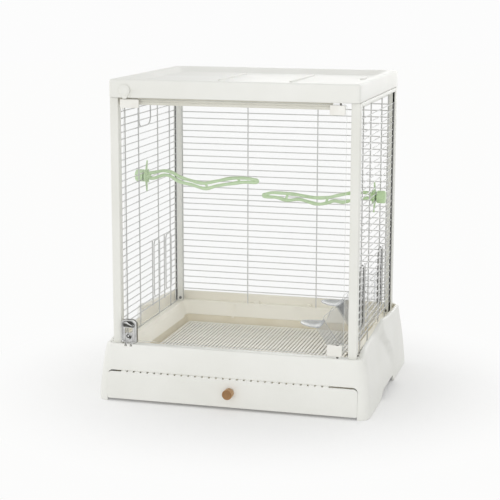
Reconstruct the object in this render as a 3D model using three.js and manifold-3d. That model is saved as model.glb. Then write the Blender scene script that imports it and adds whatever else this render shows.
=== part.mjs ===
// Canary breeding cage: a flared plastic base with a pull-out drawer, four posts, wire side
// and back panels, a clear front door and a plastic top cover. Millimetres, +Z up, the front
// faces -Y, and the origin is on the floor at the middle of the whole cage's footprint.
import * as THREE from "three";
import { mergeVertices } from "three/addons/utils/BufferGeometryUtils.js";
import Module from "manifold-3d";

const wasm = await Module();
wasm.setup();

// ---- driving dimensions ----

const GAP = 0.3; // clearance between pieces that seat on each other
const EPS = 0.5; // how far a cut runs past the face that it opens

const BASE_SPREAD_X = 23.5; // how far the base's foot reaches past the cover, on each side
const BASE_SPREAD_Y = 13;
const BASE_CORNER = 18;
const BASE_WALL = 3;
const FLARE_X = 10.7; // how far the sides lean in from foot to sill
const FLARE_Y = 10;
const FLARE_START = 15; // height where the lean begins
const SILL_Z = 94; // top of the base at the front
const SEAT_DROP = 2; // sill down to the ledge that the posts and panels stand on
const SEAT_THICK = 4;
const SEAT_GROOVE = 3; // depth of the ledge's slots for the panels
const RIM_PEAK = 28; // sill up to the highest point of the side rims
const RIM_REAR = 14; // sill up to the rear rim
const HUMP_BACK = 24; // middle of the base forward to the rims' highest point
const HUMP_SHOULDER = 17; // half length of the hump there
const RIM_TAIL = 50; // rear end of the rims, where they level out
const FUNNEL_SETBACK = 2; // hopper's top edge, in from the posts
const FUNNEL_RUN = 16; // how far its walls slope in
const FUNNEL_LOW_Z = 67; // foot of the slope
const FUNNEL_WALL = 2.5;
const ARCH_H = 5; // relief under each side of the base
const ARCH_FRONT = 52.5; // its reach forward and back from the middle of the base
const ARCH_REAR = 91.5;
const ARCH_RAMP = 26;

const TOP_Z = 518;
const COVER_W = 400;
const COVER_D = 342;
const COVER_H = 28.6;
const COVER_CORNER = 10;
const COVER_WALL = 3;
const RECESS_RIM = 14; // flat rim round the sunk top
const RECESS_RUN = 14; // sloping edge of the sunk top
const RECESS_DEPTH = 8;
const RIB_X = 60; // ribs across the sunk top
const RIB_W = 5;
const RIB_H = 3;

const POST = 14; // square posts
const POST_SETBACK = 4.3; // front of the cover to the front of the posts
const TENON = 9;
const TENON_H = 15;
const GROOVE_W = 3; // slots in the posts that hold the panel edges
const GROOVE_DEPTH = 6;
const RAIL_H = 11;
const RAIL_T = 10;
const FRONT_RAIL_T = 6;
const FRONT_RAIL_H = 22;

const WIRE = 1.8; // panel wire thickness
const ROW_PITCH = 11.25;
const ROW_RISE = 22.5; // ledge up to the lowest row
const ROW_STEP = 2; // every second row is modelled
const PANEL_OUT = 3.4; // plane of the side panels' rows, out from the middle of the posts
const BRACE_INNER = 49; // side panel uprights, from the middle of the base
const BRACE_OUTER = 113;
const BACK_BRACE_X = 63.2;
const SEED_GATE_W = 34; // feeder hatches in the side panels
const SEED_GATE_RISE = 16.5; // lowest row up to the hatch openings
const SEED_GATE_H = 93;
const GATE_LAP = 3; // hatch past its opening, above and below
const GATE_PITCH = 22.5;
const HOOK_W = 58; // hanging loop inside the left panel
const HOOK_DROP = 47.1;
const HOOK_BACK = 24; // middle of the base forward to the loop
const HOOK_BEND = 12;
const HOOK_WIRE = 2.2;

const DOOR_SIDE_GAP = 7; // door's edges to the posts
const DOOR_T = 3;
const DOOR_RECESS = 1.5; // front of the posts back to the front of the door
const DOOR_SILL_GAP = 3;
const DOOR_TOP_GAP = 2.4;
const HINGE_INSET = 9; // hinge pins in from the door's edge
const PIN_R = 1.5;
const PIN_PLAY = 0.3;
const BLOCK_W = 23.7; // hinge blocks on the door
const BLOCK_T = 4.5;
const UPPER_BLOCK_H = 15;
const LOWER_BLOCK_H = 18;
const BLOCK_EDGE = 7.2; // hinge pins to the right edge of the blocks
const CLIP_W = 30.7;
const CLIP_H = 13.3;
const LATCH_W = 27; // chrome drop latch at the foot of the door
const LATCH_H = 38.5;
const LATCH_INSET = 7; // middle of the latch in from the door's edge
const LATCH_T = 6;
const BOLT_W = 12.4;
const BOLT_T = 3;
const BOLT_TRAVEL = 8;
const BOLT_REACH = 3.6; // bolt's feet below the sill
const BUTTON_INSET = 6; // turn button on the cover, in from the door's edge
const BUTTON_RISE = 11.6; // and up from the cover's lower edge
const BUTTON_R = 9;
const BUTTON_TIP = 13;

const DRAWER_INSET = 18; // drawer front in from the base's foot
const DRAWER_FOOT = 1;
const DRAWER_FRONT_H = 49;
const DRAWER_FRONT_T = 4;
const DRAWER_CORNER = 8;
const TRAY_INSET = 7; // tray in from the ends of the drawer front
const TRAY_REAR_GAP = 5;
const TRAY_H = 37;
const TRAY_WALL = 2.5;
const TRAY_LOW_Z = 9;
const RUNNER_T = 3;
const RUNNER_LAP = 8; // how far the runners reach under the tray
const KNOB_R = 9.5;
const KNOB_OUT = 15; // how far the knob stands proud of the drawer
const KNOB_Z = 29;

const GRID_TOP_Z = 60;
const GRID_LEDGE = 5; // width of the shelf under its edge
const GRID_BAR = 2.2;
const GRID_PITCH = 12.4; // every second bar is modelled

const PERCH_ROD = 3.3; // radius of the perch stems
const STUD_R = 3;
const PLATE_T = 3;
const PLATE_R = 11;
const LEAF_REACH = 26;
const NUT_R = 10.5;
const NUT_T = 14;

const CUP_W = 56; // clear feeder cups on the right panel
const CUP_WALL = 2;
const CUP_GAP = 5.9; // back of the cups to the panel's rows
const CUP_DEPTH = 67.5;
const CUP_ROW = 6; // the row that the cups' hooks hang on
const CUP_DROP = 94; // that row down to the underside of the cups
const CUP_LIP_H = 40;
const CUP_BACK_H = 102;
const TONGUE = 30; // spout in front of the lip
const TONGUE_W = 36;
const CUP_HOOK_W = 2.6;

const SCREW_R = 1.6;
const SCREW_HEAD_R = 2.8;

// ---- places worked out from them ----

const BASE_W = COVER_W + 2 * BASE_SPREAD_X;
const BASE_D = COVER_D + 2 * BASE_SPREAD_Y;
const BASE_Y = KNOB_OUT / 2; // middle of the base, so that the knob is inside the footprint
const BASE_FRONT = BASE_Y - BASE_D / 2;
const BASE_REAR = BASE_Y + BASE_D / 2;
const COVER_FRONT = BASE_Y - COVER_D / 2;
const COVER_LOW_Z = TOP_Z - COVER_H;
const ROOF_Z = TOP_Z - RECESS_DEPTH - COVER_WALL;
const SEAT_Z = SILL_Z - SEAT_DROP;
const RIM_PEAK_Z = SILL_Z + RIM_PEAK;
const RIM_REAR_Z = SILL_Z + RIM_REAR;
const POST_X = COVER_W / 2 - POST / 2;
const POST_FRONT = COVER_FRONT + POST_SETBACK;
const POST_Y = BASE_Y - POST_FRONT - POST / 2; // front and rear posts lie this far from BASE_Y
const POST_LOW_Z = SEAT_Z + GAP;
const POST_HIGH_Z = COVER_LOW_Z - GAP;
const POST_INNER_X = POST_X - POST / 2;
const POST_INNER_Y = POST_Y - POST / 2;
const BACK_Y = BASE_Y + POST_Y; // plane of the back panel's rows
const RAIL_LOW_Z = POST_HIGH_Z - RAIL_H;
const PANEL_X = POST_X + PANEL_OUT;
const PANEL_LOW_Z = SEAT_Z - SEAT_GROOVE + GAP;
const PANEL_HIGH_Z = RAIL_LOW_Z + GROOVE_DEPTH - GAP;
const BRACE_LAYER = WIRE - 0.1; // uprights lie this far inside the rows, welded to them
const GATE_LAYER = BRACE_LAYER + WIRE + GAP;
const EDGE_INSET = 3.5; // edge upright, from the face of the post into its groove
const DOOR_W = 2 * (POST_INNER_X - DOOR_SIDE_GAP);
const DOOR_FRONT = POST_FRONT + DOOR_RECESS;
const DOOR_BACK = DOOR_FRONT + DOOR_T;
const DOOR_LOW_Z = SILL_Z + DOOR_SILL_GAP;
const DOOR_HIGH_Z = COVER_LOW_Z - DOOR_TOP_GAP;
const HINGE_X = DOOR_W / 2 - HINGE_INSET;
const HINGE_Y = DOOR_FRONT - GAP - BLOCK_T / 2;
const SILL_BACK = POST_FRONT - GAP;
const BRACES = [-BRACE_OUTER, -BRACE_INNER, BRACE_INNER, BRACE_OUTER].map((y) => BASE_Y + y);
const rowZ = (k) => SEAT_Z + ROW_RISE + ROW_PITCH * k;
const rowsBelow = (z) => Math.ceil((z - rowZ(0)) / (ROW_PITCH * ROW_STEP));
const ROWS = Array.from({ length: rowsBelow(RAIL_LOW_Z - ROW_PITCH) }, (_, i) => i * ROW_STEP);
const SEED_GATE_LOW = rowZ(0) + SEED_GATE_RISE;
const SEED_GATE_HIGH = SEED_GATE_LOW + SEED_GATE_H;

// ---- materials ----

const material = (color, roughness, metalness = 0, opacity = 1) =>
  new THREE.MeshStandardMaterial({ color, roughness, metalness, opacity, transparent: opacity < 1 });
const shellWhite = material(0xeaeae5, 0.45);
const trimWhite = material(0xebe9e2, 0.4);
const wireWhite = material(0xe2e2df, 0.35);
const clearSheet = material(0xf2f5f4, 0.08, 0, 0.2);
const clearCup = material(0xd9e0e2, 0.1, 0, 0.35);
const leafGreen = material(0xb4d3a0, 0.45);
const knobWood = material(0xa9814f, 0.6);
const chrome = material(0xb9bab8, 0.2, 0.9);
const steel = material(0x77756f, 0.35, 0.9);
const trayCream = material(0xe4e1d6, 0.5);

// ---- shape helpers ----

// A three.js geometry as a solid that can be joined and cut.
function solid(geometry) {
  const bare = geometry.index ? geometry.toNonIndexed() : geometry;
  const clean = new THREE.BufferGeometry().setAttribute("position", bare.getAttribute("position"));
  const merged = mergeVertices(clean, 1e-4);
  return new wasm.Manifold(
    new wasm.Mesh({
      numProp: 3,
      vertProperties: Float32Array.from(merged.attributes.position.array),
      triVerts: Uint32Array.from(merged.index.array),
    }),
  );
}

const join = (...parts) => parts.reduce((sum, part) => sum.add(part));
const cut = (body, ...tools) => tools.reduce((rest, tool) => rest.subtract(tool), body);

// A box by its low and high corners.
function block(x0, x1, y0, y1, z0, z1) {
  const box = new THREE.BoxGeometry(x1 - x0, y1 - y0, z1 - z0);
  return solid(box.translate((x0 + x1) / 2, (y0 + y1) / 2, (z0 + z1) / 2));
}

// A cylinder from one point along an axis ("x", "y" or "z").
function rod(axis, radius, length, x, y, z, sides = 24) {
  const cylinder = new THREE.CylinderGeometry(radius, radius, length, sides);
  cylinder.translate(0, length / 2, 0);
  if (axis === "z") cylinder.rotateX(Math.PI / 2);
  if (axis === "x") cylinder.rotateZ(-Math.PI / 2);
  return solid(cylinder.translate(x, y, z));
}

function roundedRect(width, depth, radius) {
  const [w, d] = [width / 2, depth / 2];
  const shape = new THREE.Shape();
  shape.absarc(w - radius, d - radius, radius, 0, Math.PI / 2);
  shape.absarc(radius - w, d - radius, radius, Math.PI / 2, Math.PI);
  shape.absarc(radius - w, radius - d, radius, Math.PI, Math.PI * 1.5);
  shape.absarc(w - radius, radius - d, radius, Math.PI * 1.5, Math.PI * 2);
  return shape;
}

// A rounded rectangle stood up through the given levels; lean(z) gives how far its sides lean
// in at each of them, in x and in y.
function leaningPrism({ width, depth, radius, y, levels, facets = 5, lean }) {
  const geometry = new THREE.ExtrudeGeometry(roundedRect(width, depth, radius), {
    depth: levels.length - 1,
    bevelEnabled: false,
    curveSegments: facets,
    steps: levels.length - 1,
  });
  const position = geometry.getAttribute("position");
  for (let i = 0; i < position.count; i += 1) {
    const z = levels[Math.round(position.getZ(i))];
    const [inX, inY] = lean(z);
    const sx = 1 - (2 * inX) / width;
    const sy = 1 - (2 * inY) / depth;
    position.setXYZ(i, position.getX(i) * sx, y + position.getY(i) * sy, z);
  }
  return solid(geometry);
}

// A flat outline of [a, b] points pushed along one axis, from low to high.
function profileAlong(axis, points, low, high) {
  const shape = new THREE.Shape(points.map(([a, b]) => new THREE.Vector2(a, b)));
  const geometry = new THREE.ExtrudeGeometry(shape, { depth: high - low, bevelEnabled: false });
  geometry.translate(0, 0, low);
  if (axis === "x") geometry.applyMatrix4(new THREE.Matrix4().set(0, 0, 1, 0, 1, 0, 0, 0, 0, 1, 0, 0, 0, 0, 0, 1));
  if (axis === "y") geometry.rotateX(Math.PI / 2).scale(1, 1, 1);
  return solid(geometry);
}

const cage = new THREE.Group();

// Puts a finished solid into the cage as a named mesh.
function place(name, body, look) {
  const { vertProperties, triVerts } = body.getMesh();
  const geometry = new THREE.BufferGeometry();
  geometry.setAttribute("position", new THREE.BufferAttribute(vertProperties, 3));
  geometry.setIndex(new THREE.BufferAttribute(triVerts, 1));
  geometry.computeVertexNormals();
  const mesh = new THREE.Mesh(geometry, look);
  mesh.name = name;
  cage.add(mesh);
}

// ---- base ----

const leanOf = (z) => {
  const t = Math.max(0, Math.min(1, (z - FLARE_START) / (SILL_Z - FLARE_START)));
  const above = Math.max(0, z - SILL_Z) * 0.12;
  return [FLARE_X * t * t + above, FLARE_Y * t * t + above];
};

const FLARE_LEVELS = [0, 1, 2, 3, 4].map((i) => FLARE_START + (i * (SILL_Z - 8 - FLARE_START)) / 4);
const FUNNEL_TOP_X = POST_INNER_X - FUNNEL_SETBACK;
const FUNNEL_FRONT = BASE_Y - POST_INNER_Y + FUNNEL_SETBACK;
const FUNNEL_REAR = BASE_Y + POST_INNER_Y - FUNNEL_SETBACK;

// The hopper inside the base, or its outside when grown.
function funnel(grow, low, high) {
  const depth = FUNNEL_REAR - FUNNEL_FRONT;
  return leaningPrism({
    width: 2 * (FUNNEL_TOP_X + grow),
    depth: depth + 2 * grow,
    radius: 6 + grow,
    y: (FUNNEL_FRONT + FUNNEL_REAR) / 2,
    levels: [low, FUNNEL_LOW_Z, high],
    facets: 3,
    lean: (z) => {
      const t = Math.max(0, Math.min(1, (SEAT_Z - z) / (SEAT_Z - FUNNEL_LOW_Z)));
      return [FUNNEL_RUN * t, FUNNEL_RUN * t];
    },
  });
}

function makeBase() {
  const outer = leaningPrism({
    width: BASE_W,
    depth: BASE_D,
    radius: BASE_CORNER,
    y: BASE_Y,
    levels: [0, ...FLARE_LEVELS, SILL_Z, RIM_PEAK_Z],
    lean: leanOf,
  });
  // Side view of the rim: low sill in front, a hump by the grip, then a slow fall to the rear.
  const rim = profileAlong(
    "x",
    [
      [BASE_FRONT - EPS, -EPS],
      [BASE_REAR + EPS, -EPS],
      [BASE_REAR + EPS, RIM_REAR_Z],
      [BASE_REAR - RIM_TAIL, RIM_REAR_Z + 3],
      [BASE_Y - HUMP_BACK + HUMP_SHOULDER, RIM_PEAK_Z - 4],
      [BASE_Y - HUMP_BACK, RIM_PEAK_Z],
      [BASE_Y - HUMP_BACK - HUMP_SHOULDER, RIM_PEAK_Z - 2.5],
      [POST_FRONT + POST, SILL_Z + (RIM_PEAK_Z - SILL_Z) / 3],
      [POST_FRONT + 2, SILL_Z],
      [BASE_FRONT - EPS, SILL_Z],
    ],
    -BASE_W,
    BASE_W,
  );
  const seat = block(
    -COVER_W / 2 - GAP,
    COVER_W / 2 + GAP,
    SILL_BACK,
    BASE_Y + POST_Y + POST / 2 + GAP,
    SEAT_Z,
    TOP_Z,
  );
  const hollow = leaningPrism({
    width: BASE_W - 2 * BASE_WALL,
    depth: BASE_D - 2 * BASE_WALL,
    radius: BASE_CORNER - BASE_WALL,
    y: BASE_Y,
    levels: [-EPS, ...FLARE_LEVELS, SEAT_Z - SEAT_THICK],
    lean: leanOf,
  });
  const mouth = block(
    -DRAWER_W / 2 - GAP,
    DRAWER_W / 2 + GAP,
    BASE_FRONT - EPS,
    BASE_FRONT + DRAWER_FRONT_T + TRAY_WALL,
    -EPS,
    DRAWER_FOOT + DRAWER_FRONT_H + GAP,
  );
  const shell = cut(outer.intersect(rim), seat, hollow, mouth);
  const runners = [-1, 1].map((side) => {
    const x = [side * (TRAY_W / 2 - RUNNER_LAP), side * (BASE_W / 2 - BASE_WALL + 1)].sort((a, b) => a - b);
    const y = [BASE_FRONT + BASE_CORNER, BASE_REAR - BASE_CORNER];
    const high = TRAY_LOW_Z - GAP;
    return block(x[0], x[1], y[0], y[1], high - RUNNER_T, high);
  });
  const arch = profileAlong(
    "x",
    [
      [BASE_Y - ARCH_FRONT, -EPS],
      [BASE_Y + ARCH_REAR, -EPS],
      [BASE_Y + ARCH_REAR, ARCH_H],
      [BASE_Y - ARCH_FRONT + ARCH_RAMP, ARCH_H],
      [BASE_Y - ARCH_FRONT + ARCH_RAMP * 0.3, ARCH_H * 0.5],
    ],
    -BASE_W,
    BASE_W,
  );
  const drop = SEAT_Z - SEAT_GROOVE;
  const slots = [-1, 1].map((side) => {
    const inner = side * (PANEL_X - BRACE_LAYER - WIRE / 2 - GAP);
    const outerX = side * (PANEL_X + WIRE / 2 + GAP);
    const [x0, x1] = [inner, outerX].sort((a, b) => a - b);
    return block(x0, x1, BASE_Y - POST_INNER_Y, BASE_Y + POST_INNER_Y, drop, SEAT_Z + EPS);
  });
  const backSlot = block(
    -POST_INNER_X,
    POST_INNER_X,
    BACK_Y - BRACE_LAYER - WIRE / 2 - GAP,
    BACK_Y + WIRE / 2 + GAP,
    drop,
    SEAT_Z + EPS,
  );
  const pinHole = rod("z", PIN_R + PIN_PLAY, 20, HINGE_X, HINGE_Y, SEAT_Z - 12);
  // Open at the front, so that the feet leave the sill when the door swings out.
  const boltNotches = boltFeet(GAP, BOLT_LOW_Z - GAP, SILL_Z + EPS, BOLT_Y - BASE_FRONT);
  const body = join(shell, funnel(FUNNEL_WALL, GRID_TOP_Z - 8, SEAT_Z - 1), ...runners);
  const ledge = gridLedge();
  const open = cut(body, funnel(0, GRID_TOP_Z - 10, SEAT_Z + EPS), arch, ...slots, backSlot, pinHole);
  const screwHoles = screwPlaces.map(({ hole }) => hole);
  return cut(join(open, ledge), ...boltNotches, ...screwHoles);
}

const GRID_HALF_X = FUNNEL_TOP_X - FUNNEL_RUN - 1;
const GRID_FRONT = FUNNEL_FRONT + FUNNEL_RUN + 1;
const GRID_REAR = FUNNEL_REAR - FUNNEL_RUN - 1;
const GRID_LOW_Z = GRID_TOP_Z - 2 * GRID_BAR + 0.1;

// The small shelf at the foot of the hopper that the floor grid lies on.
function gridLedge() {
  const frame = (grow, low, high) =>
    block(-GRID_HALF_X - grow, GRID_HALF_X + grow, GRID_FRONT - grow, GRID_REAR + grow, low, high);
  const top = GRID_LOW_Z - GAP;
  return cut(frame(1 + FUNNEL_WALL / 2, top - 2.5, top), frame(-GRID_LEDGE + 1, top - 4, top + EPS));
}

function makeFloorGrid() {
  const crossTop = GRID_LOW_Z + GRID_BAR;
  const parts = [];
  const count = Math.floor((2 * GRID_HALF_X - GRID_BAR) / GRID_PITCH);
  for (let i = 0; i <= count; i += 1) {
    const x = (i - count / 2) * GRID_PITCH;
    parts.push(block(x - GRID_BAR / 2, x + GRID_BAR / 2, GRID_FRONT, GRID_REAR, crossTop - 0.1, GRID_TOP_Z));
  }
  const crosses = 3;
  for (let j = 0; j < crosses; j += 1) {
    const y = GRID_FRONT + 9 + ((GRID_REAR - GRID_FRONT - 18 - GRID_BAR) * j) / (crosses - 1);
    parts.push(block(-GRID_HALF_X, GRID_HALF_X, y, y + GRID_BAR, GRID_LOW_Z, crossTop));
  }
  return join(...parts);
}

// ---- drawer ----

const DRAWER_W = BASE_W - 2 * DRAWER_INSET;
const TRAY_W = DRAWER_W - 2 * TRAY_INSET;

function makeTray() {
  const front = BASE_FRONT + DRAWER_FRONT_T + GAP;
  const rear = BASE_REAR - BASE_WALL - TRAY_REAR_GAP;
  const high = TRAY_LOW_Z + TRAY_H;
  const outer = block(-TRAY_W / 2, TRAY_W / 2, front, rear, TRAY_LOW_Z, high);
  const inner = block(
    TRAY_WALL - TRAY_W / 2,
    TRAY_W / 2 - TRAY_WALL,
    front + TRAY_WALL,
    rear - TRAY_WALL,
    TRAY_LOW_Z + TRAY_WALL,
    high + EPS,
  );
  return cut(outer, inner, knobBore());
}

function makeDrawerFront() {
  const plate = new THREE.ExtrudeGeometry(roundedRect(DRAWER_W - GAP, DRAWER_FRONT_H - GAP, DRAWER_CORNER), {
    depth: DRAWER_FRONT_T,
    bevelEnabled: false,
    curveSegments: 5,
  });
  plate.rotateX(Math.PI / 2);
  plate.translate(0, BASE_FRONT + DRAWER_FRONT_T, DRAWER_FOOT + DRAWER_FRONT_H / 2);
  return cut(solid(plate), knobBore());
}

const knobBore = () => rod("y", SCREW_R + 0.1, 30, 0, BASE_FRONT - 10, KNOB_Z, 16);

function makeKnob() {
  const profile = [
    [0, 0],
    [KNOB_R * 0.62, 0],
    [KNOB_R * 0.58, KNOB_OUT * 0.3],
    [KNOB_R * 0.95, KNOB_OUT * 0.5],
    [KNOB_R, KNOB_OUT * 0.68],
    [KNOB_R * 0.93, KNOB_OUT * 0.88],
    [KNOB_R * 0.66, KNOB_OUT - GAP],
    [0, KNOB_OUT - GAP],
  ].map(([r, h]) => new THREE.Vector2(r, h));
  const knob = new THREE.LatheGeometry(profile, 28);
  knob.rotateX(Math.PI); // its length runs towards -Y from the drawer front
  return cut(
    solid(knob.translate(0, BASE_FRONT - GAP, KNOB_Z)),
    rod("y", SCREW_R + 0.1, 9, 0, BASE_FRONT - 9, KNOB_Z, 16),
  );
}

function makeKnobScrew() {
  const back = BASE_FRONT + DRAWER_FRONT_T + GAP + TRAY_WALL;
  const shank = rod("y", SCREW_R, back + 0.1 - (BASE_FRONT - 8), 0, BASE_FRONT - 8, KNOB_Z, 16);
  return join(shank, rod("y", SCREW_HEAD_R, 2, 0, back + 0.05, KNOB_Z, 16));
}

// ---- posts, rails and cover ----

const corners = [
  { name: "front_left", x: -1, y: -1 },
  { name: "front_right", x: 1, y: -1 },
  { name: "rear_left", x: -1, y: 1 },
  { name: "rear_right", x: 1, y: 1 },
];

// A low screw ties each post to the rim: sideways at the front, rearwards at the back.
const SCREW_HEAD_T = 1.8;
const SCREW_REACH = POST + 3.2;
const screwPlaces = corners.map(({ name, x, y }) => {
  const z = SEAT_Z + 5.5;
  const py = BASE_Y + y * POST_Y;
  const seat = 0.1; // the head's clearance to the post
  if (y < 0) {
    const head = x * (POST_INNER_X - seat); // seat face of the head
    const tip = head + x * SCREW_REACH;
    const along = (radius, from, to) => {
      const [low, high] = [from, to].sort((a, b) => a - b);
      return rod("x", radius, high - low, low, py, z, 12);
    };
    return {
      name: `post_screw_${name}`,
      hole: along(SCREW_R + 0.1, head - x, tip + x),
      screw: join(along(SCREW_R, head - 0.1 * x, tip), along(SCREW_HEAD_R, head, head - x * SCREW_HEAD_T)),
    };
  }
  const sx = x * (POST_INNER_X + 3.4);
  const head = py - POST / 2 - seat;
  return {
    name: `post_screw_${name}`,
    hole: rod("y", SCREW_R + 0.1, SCREW_REACH + 2, sx, head - 1, z, 12),
    screw: join(
      rod("y", SCREW_R, SCREW_REACH + 0.1, sx, head - 0.1, z, 12),
      rod("y", SCREW_HEAD_R, SCREW_HEAD_T, sx, head - SCREW_HEAD_T, z, 12),
    ),
  };
});

function makePost({ x, y }, { hole }) {
  const [cx, cy] = [x * POST_X, BASE_Y + y * POST_Y];
  const half = POST / 2;
  const square = new THREE.ExtrudeGeometry(roundedRect(POST, POST, 1.5), {
    depth: POST_HIGH_Z - POST_LOW_Z,
    bevelEnabled: false,
    curveSegments: 2,
  });
  const shaft = solid(square.translate(cx, cy, POST_LOW_Z));
  const tx = cx - x * 1.5;
  const tenon = block(
    tx - TENON / 2,
    tx + TENON / 2,
    cy - TENON / 2,
    cy + TENON / 2,
    POST_HIGH_Z - 0.1,
    POST_HIGH_Z + TENON_H,
  );
  const slotX = x * PANEL_X;
  const face = cy - y * half; // the face that looks along the cage's side
  const [s0, s1] = [face + y * GROOVE_DEPTH, face - y * EPS].sort((a, b) => a - b);
  const sideSlot = block(
    slotX - GROOVE_W / 2,
    slotX + GROOVE_W / 2,
    s0,
    s1,
    POST_LOW_Z - EPS,
    POST_HIGH_Z + 0.2,
  );
  const cuts = [sideSlot, hole];
  if (y > 0) {
    const [b0, b1] = [cx - x * (half + EPS), cx - x * (half - GROOVE_DEPTH)].sort((a, b) => a - b);
    cuts.push(block(b0, b1, BACK_Y - GROOVE_W / 2, BACK_Y + GROOVE_W / 2, POST_LOW_Z - EPS, POST_HIGH_Z + 0.2));
  }
  return cut(join(shaft, tenon), ...cuts);
}

function makeSideRail(side) {
  const [x0, x1] = [side * (COVER_W / 2 - RAIL_T), (side * COVER_W) / 2].sort((a, b) => a - b);
  const y0 = BASE_Y - POST_INNER_Y + GAP;
  const y1 = BASE_Y + POST_INNER_Y - GAP;
  const inner = side * (PANEL_X - BRACE_LAYER - WIRE / 2 - GAP);
  const outer = side * (PANEL_X + WIRE / 2 + GAP);
  const [g0, g1] = [inner, outer].sort((a, b) => a - b);
  const groove = block(g0, g1, y0 - EPS, y1 + EPS, RAIL_LOW_Z - EPS, RAIL_LOW_Z + GROOVE_DEPTH);
  const rail = cut(block(x0, x1, y0, y1, RAIL_LOW_Z, POST_HIGH_Z), groove);
  return side < 0 ? cut(rail, ...hookLegs(GAP)) : rail;
}

function makeRearRail() {
  const x1 = POST_INNER_X - GAP;
  const groove = block(
    -x1 - EPS,
    x1 + EPS,
    BACK_Y - BRACE_LAYER - WIRE / 2 - GAP,
    BACK_Y + WIRE / 2 + GAP,
    RAIL_LOW_Z - EPS,
    RAIL_LOW_Z + GROOVE_DEPTH,
  );
  return cut(block(-x1, x1, BACK_Y - 6, BACK_Y + 4, RAIL_LOW_Z, POST_HIGH_Z), groove);
}

function makeFrontRail() {
  const x1 = POST_INNER_X - GAP;
  const front = DOOR_BACK + GAP;
  const rail = block(-x1, x1, front, front + FRONT_RAIL_T, RAIL_LOW_Z, RAIL_LOW_Z + FRONT_RAIL_H);
  // Room for the hinge edge of the door to swing in.
  const notch = block(HINGE_X - 14, x1 + EPS, front - EPS, front + FRONT_RAIL_T + EPS, 0, DOOR_HIGH_Z + 2);
  return cut(rail, notch);
}

function makeCover() {
  const outer = leaningPrism({
    width: COVER_W,
    depth: COVER_D,
    radius: COVER_CORNER,
    y: BASE_Y,
    levels: [COVER_LOW_Z, TOP_Z - 2.4, TOP_Z - 0.7, TOP_Z],
    facets: 4,
    lean: (z) => {
      const edge = z > TOP_Z - 0.1 ? 2.2 : z > TOP_Z - 1 ? 0.7 : 0;
      return [edge, edge];
    },
  });
  const pocket = block(
    COVER_WALL - COVER_W / 2,
    COVER_W / 2 - COVER_WALL,
    COVER_FRONT + COVER_WALL,
    COVER_FRONT + COVER_D - COVER_WALL,
    COVER_LOW_Z - EPS,
    ROOF_Z,
  );
  const recess = leaningPrism({
    width: COVER_W - 2 * RECESS_RIM,
    depth: COVER_D - 2 * RECESS_RIM,
    radius: 12,
    y: BASE_Y,
    levels: [1, 0.75, 0.5, 0.25, 0, -0.1].map((t) => TOP_Z - RECESS_DEPTH * t),
    facets: 4,
    lean: (z) => {
      const t = Math.max(0, Math.min(1, (TOP_Z - z) / RECESS_DEPTH));
      return [RECESS_RUN * t * t, RECESS_RUN * t * t];
    },
  });
  const ribs = [-RIB_X, RIB_X].map((x) => {
    const reach = COVER_D / 2 - RECESS_RIM - RECESS_RUN - 4;
    const floor = TOP_Z - RECESS_DEPTH;
    return block(x - RIB_W / 2, x + RIB_W / 2, BASE_Y - reach, BASE_Y + reach, floor - 1, floor + RIB_H);
  });
  const lug = block(
    HINGE_X - 7,
    HINGE_X + 7,
    COVER_FRONT + COVER_WALL - 1,
    DOOR_BACK,
    COVER_LOW_Z,
    ROOF_Z + 1,
  );
  const pinHole = rod("z", PIN_R + PIN_PLAY, 14, HINGE_X, HINGE_Y, COVER_LOW_Z - EPS);
  const buttonHole = rod("y", SCREW_R + GAP, 10, BUTTON_X, COVER_FRONT - 3, BUTTON_Z, 16);
  return cut(join(cut(outer, pocket, recess), ...ribs, lug), pinHole, buttonHole);
}

// ---- wire panels and hatches ----

// Where the feeder hatches are: the y span of each opening, by side.
const gateSpans = {
  left: [
    [BRACES[2] - SEED_GATE_W, BRACES[2]],
    [BRACES[3] - SEED_GATE_W, BRACES[3]],
  ],
  right: [
    [BRACES[0], BRACES[0] + SEED_GATE_W],
    [BRACES[2], BRACES[2] + SEED_GATE_W],
  ],
};

// A wire lying along y or z in the plane of a side panel; layer moves it into the cage.
function sideWire(side, layer, y0, y1, z0, z1) {
  const x = side * (PANEL_X - layer);
  return block(x - WIRE / 2, x + WIRE / 2, y0, y1, z0, z1);
}

function makeSidePanel(side, spans) {
  const w = WIRE / 2;
  const y0 = BASE_Y - POST_INNER_Y - EDGE_INSET;
  const y1 = BASE_Y + POST_INNER_Y + EDGE_INSET;
  const wires = [];
  const rows = ROWS.map(rowZ);
  for (const z of rows) {
    const openings = z > SEED_GATE_LOW && z < SEED_GATE_HIGH ? spans : [];
    let from = y0;
    for (const [a, b] of openings) {
      wires.push(sideWire(side, 0, from, a + w, z - w, z + w));
      from = b - w;
    }
    wires.push(sideWire(side, 0, from, y1, z - w, z + w));
  }
  for (const y of [y0, y1]) wires.push(sideWire(side, 0, y - w, y + w, rows[0] - w, rows.at(-1) + w));
  for (const y of BRACES) {
    wires.push(sideWire(side, BRACE_LAYER, y - w, y + w, PANEL_LOW_Z, PANEL_HIGH_Z));
  }
  const low = rows.filter((z) => z < SEED_GATE_LOW).at(-1);
  const high = rows.find((z) => z > SEED_GATE_HIGH);
  for (const [a, b] of spans) {
    const y = BRACES.includes(a) ? b : a; // the free side of the opening
    wires.push(sideWire(side, BRACE_LAYER, y - w, y + w, low - w, high + w));
  }
  return join(...wires);
}

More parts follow.
